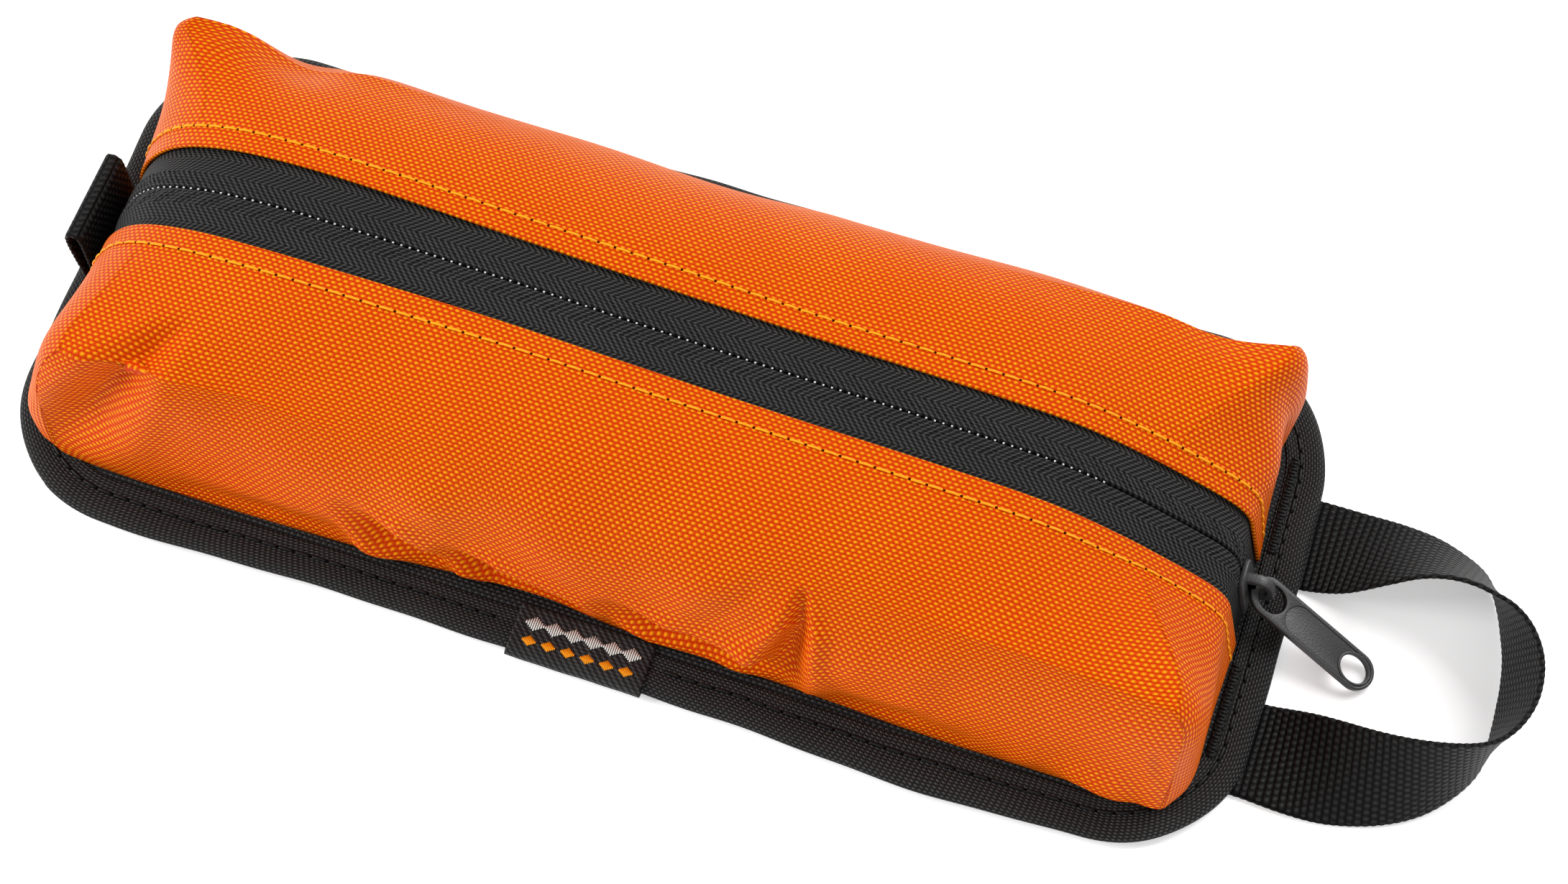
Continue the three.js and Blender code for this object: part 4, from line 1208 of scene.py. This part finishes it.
def build_bartack(label, start, end, half_wide):
    """A dense zigzag of thread between two points, with a second layer over it."""
    start, end = np.array(start, float), np.array(end, float)
    length = np.linalg.norm(end - start)
    ahead = (end - start) / length
    side = np.array([-ahead[1], ahead[0], 0.0])
    parts = []
    for layer, (pitch, wide, lift) in enumerate(((0.55, half_wide, 0.05), (0.9, half_wide * 0.75, 0.45))):
        count = int(length / pitch)
        travel = np.repeat(np.linspace(0, length, count), 4)
        swing = np.tile([-1.0, -0.4, 0.4, 1.0, 1.0, 0.4, -0.4, -1.0], count // 2 + 1)[:len(travel)]
        arch = np.tile([0.0, 0.3, 0.3, 0.0], count)
        line = start + ahead * (travel + np.linspace(0, 0.01, len(travel)))[:, None]
        line = line + side * (swing * wide)[:, None]
        line[:, 2] += lift + arch
        ups = np.broadcast_to([0.0, 0.0, 1.0], line.shape)
        parts.append(thread_run(line, ups, 0.3, sides=5))
    points, faces, uvs = join_parts(parts)
    piece = make_piece("bartack_" + label + "_thread", points, faces, black_thread, uvs)
    settle(piece, "bag", "black_thread", "handle_bartack_" + label)


build_bartack("back", (149.4, 14.5, FLANGE_TOP), (149.2, 41, FLANGE_TOP), 1.1)
build_bartack("front", (148.8, -17.5, FLANGE_TOP), (148.4, -41.5, FLANGE_TOP), 1.1)


LABEL_ROWS = 60
LABEL_COLUMNS = 50
LABEL_THICKNESS = 0.35


def build_label():
    """The label folded over the flange's front edge, woven with a plain geometric band."""
    section = [(58.0, 5.05), (60.0, 5.1), (63.0, 5.0), (66.0, 5.05), (68.6, 4.95), (70.3, 4.5), (71.0, 3.6),
               (71.05, 2.6), (70.5, 1.6), (69.2, 1.15), (66.0, 1.05), (62.2, 1.05)]
    section = even_line(section, LABEL_ROWS)
    lengths = arc_lengths(section)
    across = np.linspace(-LABEL_HALF, LABEL_HALF, LABEL_COLUMNS)
    sway = 0.12 * np.sin(across / 4.0) + 0.1 * np.sin(across / 1.7)
    grid = np.empty((LABEL_ROWS, LABEL_COLUMNS, 3))
    grid[..., 0] = LABEL_MIDDLE + across[None, :]
    grid[..., 1] = -section[:, :1] - 0.1
    grid[..., 2] = section[:, 1:] + sway[None, :]
    uv = np.stack(np.broadcast_arrays(across[None, :], lengths[:, None]), axis=-1)
    piece = make_piece("label_cloth", grid.reshape(-1, 3), grid_faces(LABEL_ROWS, LABEL_COLUMNS),
                       label_twill, uv.reshape(-1, 2))
    weld_seams(piece)
    thicken(piece, LABEL_THICKNESS)
    settle(piece, "bag", "label_weave", "woven_label")


build_label()


DIAMOND_LINES = 5  # lines of thread from a diamond's middle to its tip


def build_label_motif():
    """Two rows of embroidered diamonds, one of white thread and one of orange, as plain decoration."""
    rows = ((62.4, 6, 1.8, 4.9, white_thread, "label_white_diamonds"),
            (66.9, 6, 1.3, 4.9, orange_thread, "label_orange_diamonds"))
    for y, count, size, step, material, name in rows:
        parts = []
        for i in range(count):
            middle = LABEL_MIDDLE + (i - (count - 1) / 2) * step
            for k in range(1 - DIAMOND_LINES, DIAMOND_LINES):
                half = size * (1 - abs(k) / DIAMOND_LINES)
                line = np.array([[middle + k * size * 0.3, -y - half, 5.12],
                                 [middle + k * size * 0.3, -y, 5.24],
                                 [middle + k * size * 0.3, -y + half, 5.12]])
                parts.append(thread_run(line, np.broadcast_to([0.0, 0, 1.0], line.shape), 0.2, sides=5))
        points, faces, uvs = join_parts(parts)
        settle(make_piece(name, points, faces, material, uvs), "bag", "label_weave")


build_label_motif()


# =====================================================================================
# Inner nodes keep their shape and get their own finish
# =====================================================================================

INNER_FINISHES = {
    "zip_stop_handle_end": coated_metal, "zip_stop_tab_end": coated_metal,
    "liner_lower": liner_film, "liner_upper": liner_film, "sand_fill": sand_grains,
}
for node_name, finish in INNER_FINISHES.items():
    for material_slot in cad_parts[node_name].material_slots:
        material_slot.material = finish


# =====================================================================================
# Floor, light and camera
# =====================================================================================

FLOOR_HALF = 4.0
FLOOR_GLOW = 0.34
WORLD_GLOW = 0.44


def build_floor():
    half = FLOOR_HALF
    mesh = bpy.data.meshes.new("floor")
    corners = [(-half, -half, 0), (half, -half, 0), (half, half, 0), (-half, half, 0)]
    mesh.from_pydata(corners, [], [(0, 1, 2, 3)])
    floor = bpy.data.objects.new("floor", mesh)
    bpy.context.scene.collection.objects.link(floor)
    material = moulded_material("pale_floor", (0.94, 0.94, 0.94), 0.8, variation=0.004, shine=0.1)
    shader = material.node_tree.nodes["Principled BSDF"]
    shader.inputs["Emission Color"].default_value = (1, 1, 1, 1)
    shader.inputs["Emission Strength"].default_value = FLOOR_GLOW
    mesh.materials.append(material)


def add_softbox(name, place, aim, size, watts):
    light = bpy.data.lights.new(name, "AREA")
    light.shape = "RECTANGLE"
    light.size, light.size_y = size
    light.energy = watts
    lamp = bpy.data.objects.new(name, light)
    lamp.location = place
    lamp.rotation_euler = (Vector(aim) - Vector(place)).to_track_quat("-Z", "Y").to_euler()
    bpy.context.scene.collection.objects.link(lamp)


CAMERA_PLACE = (0.09991, -0.30098, 0.64672)
CAMERA_AZIMUTH = math.radians(13.442)
CAMERA_ELEVATION = math.radians(64.0)
CAMERA_ROLL = math.radians(5.261)
CAMERA_LENS = 66.155


def build_camera():
    azimuth, elevation, roll = CAMERA_AZIMUTH, CAMERA_ELEVATION, CAMERA_ROLL
    back = Vector((math.sin(azimuth) * math.cos(elevation), -math.cos(azimuth) * math.cos(elevation),
                   math.sin(elevation)))
    level = Vector((math.cos(azimuth), math.sin(azimuth), 0))
    upright = back.cross(level)
    right = level * math.cos(roll) + upright * math.sin(roll)
    up = upright * math.cos(roll) - level * math.sin(roll)
    data = bpy.data.cameras.new("camera")
    data.sensor_width = 36
    data.lens = CAMERA_LENS
    camera = bpy.data.objects.new("camera", data)
    turn = Matrix((right, up, back)).transposed().to_4x4()
    camera.matrix_world = Matrix.Translation(CAMERA_PLACE) @ turn
    bpy.context.scene.collection.objects.link(camera)
    bpy.context.scene.camera = camera


build_floor()
add_softbox("key", (0.55, 0.85, 1.1), (0, 0, 0), (0.9, 0.8), 18)
add_softbox("left", (-1.2, -0.35, 0.75), (0, 0, 0.02), (0.5, 0.8), 16)
add_softbox("front", (0.5, -1.2, 0.9), (0.05, 0, 0.02), (1.2, 0.8), 6)

world = bpy.data.worlds.new("studio")
world.use_nodes = True
world.node_tree.nodes["Background"].inputs["Color"].default_value = (1, 1, 1, 1)
world.node_tree.nodes["Background"].inputs["Strength"].default_value = WORLD_GLOW
bpy.context.scene.world = world
bpy.context.scene.view_settings.view_transform = "Standard"
build_camera()
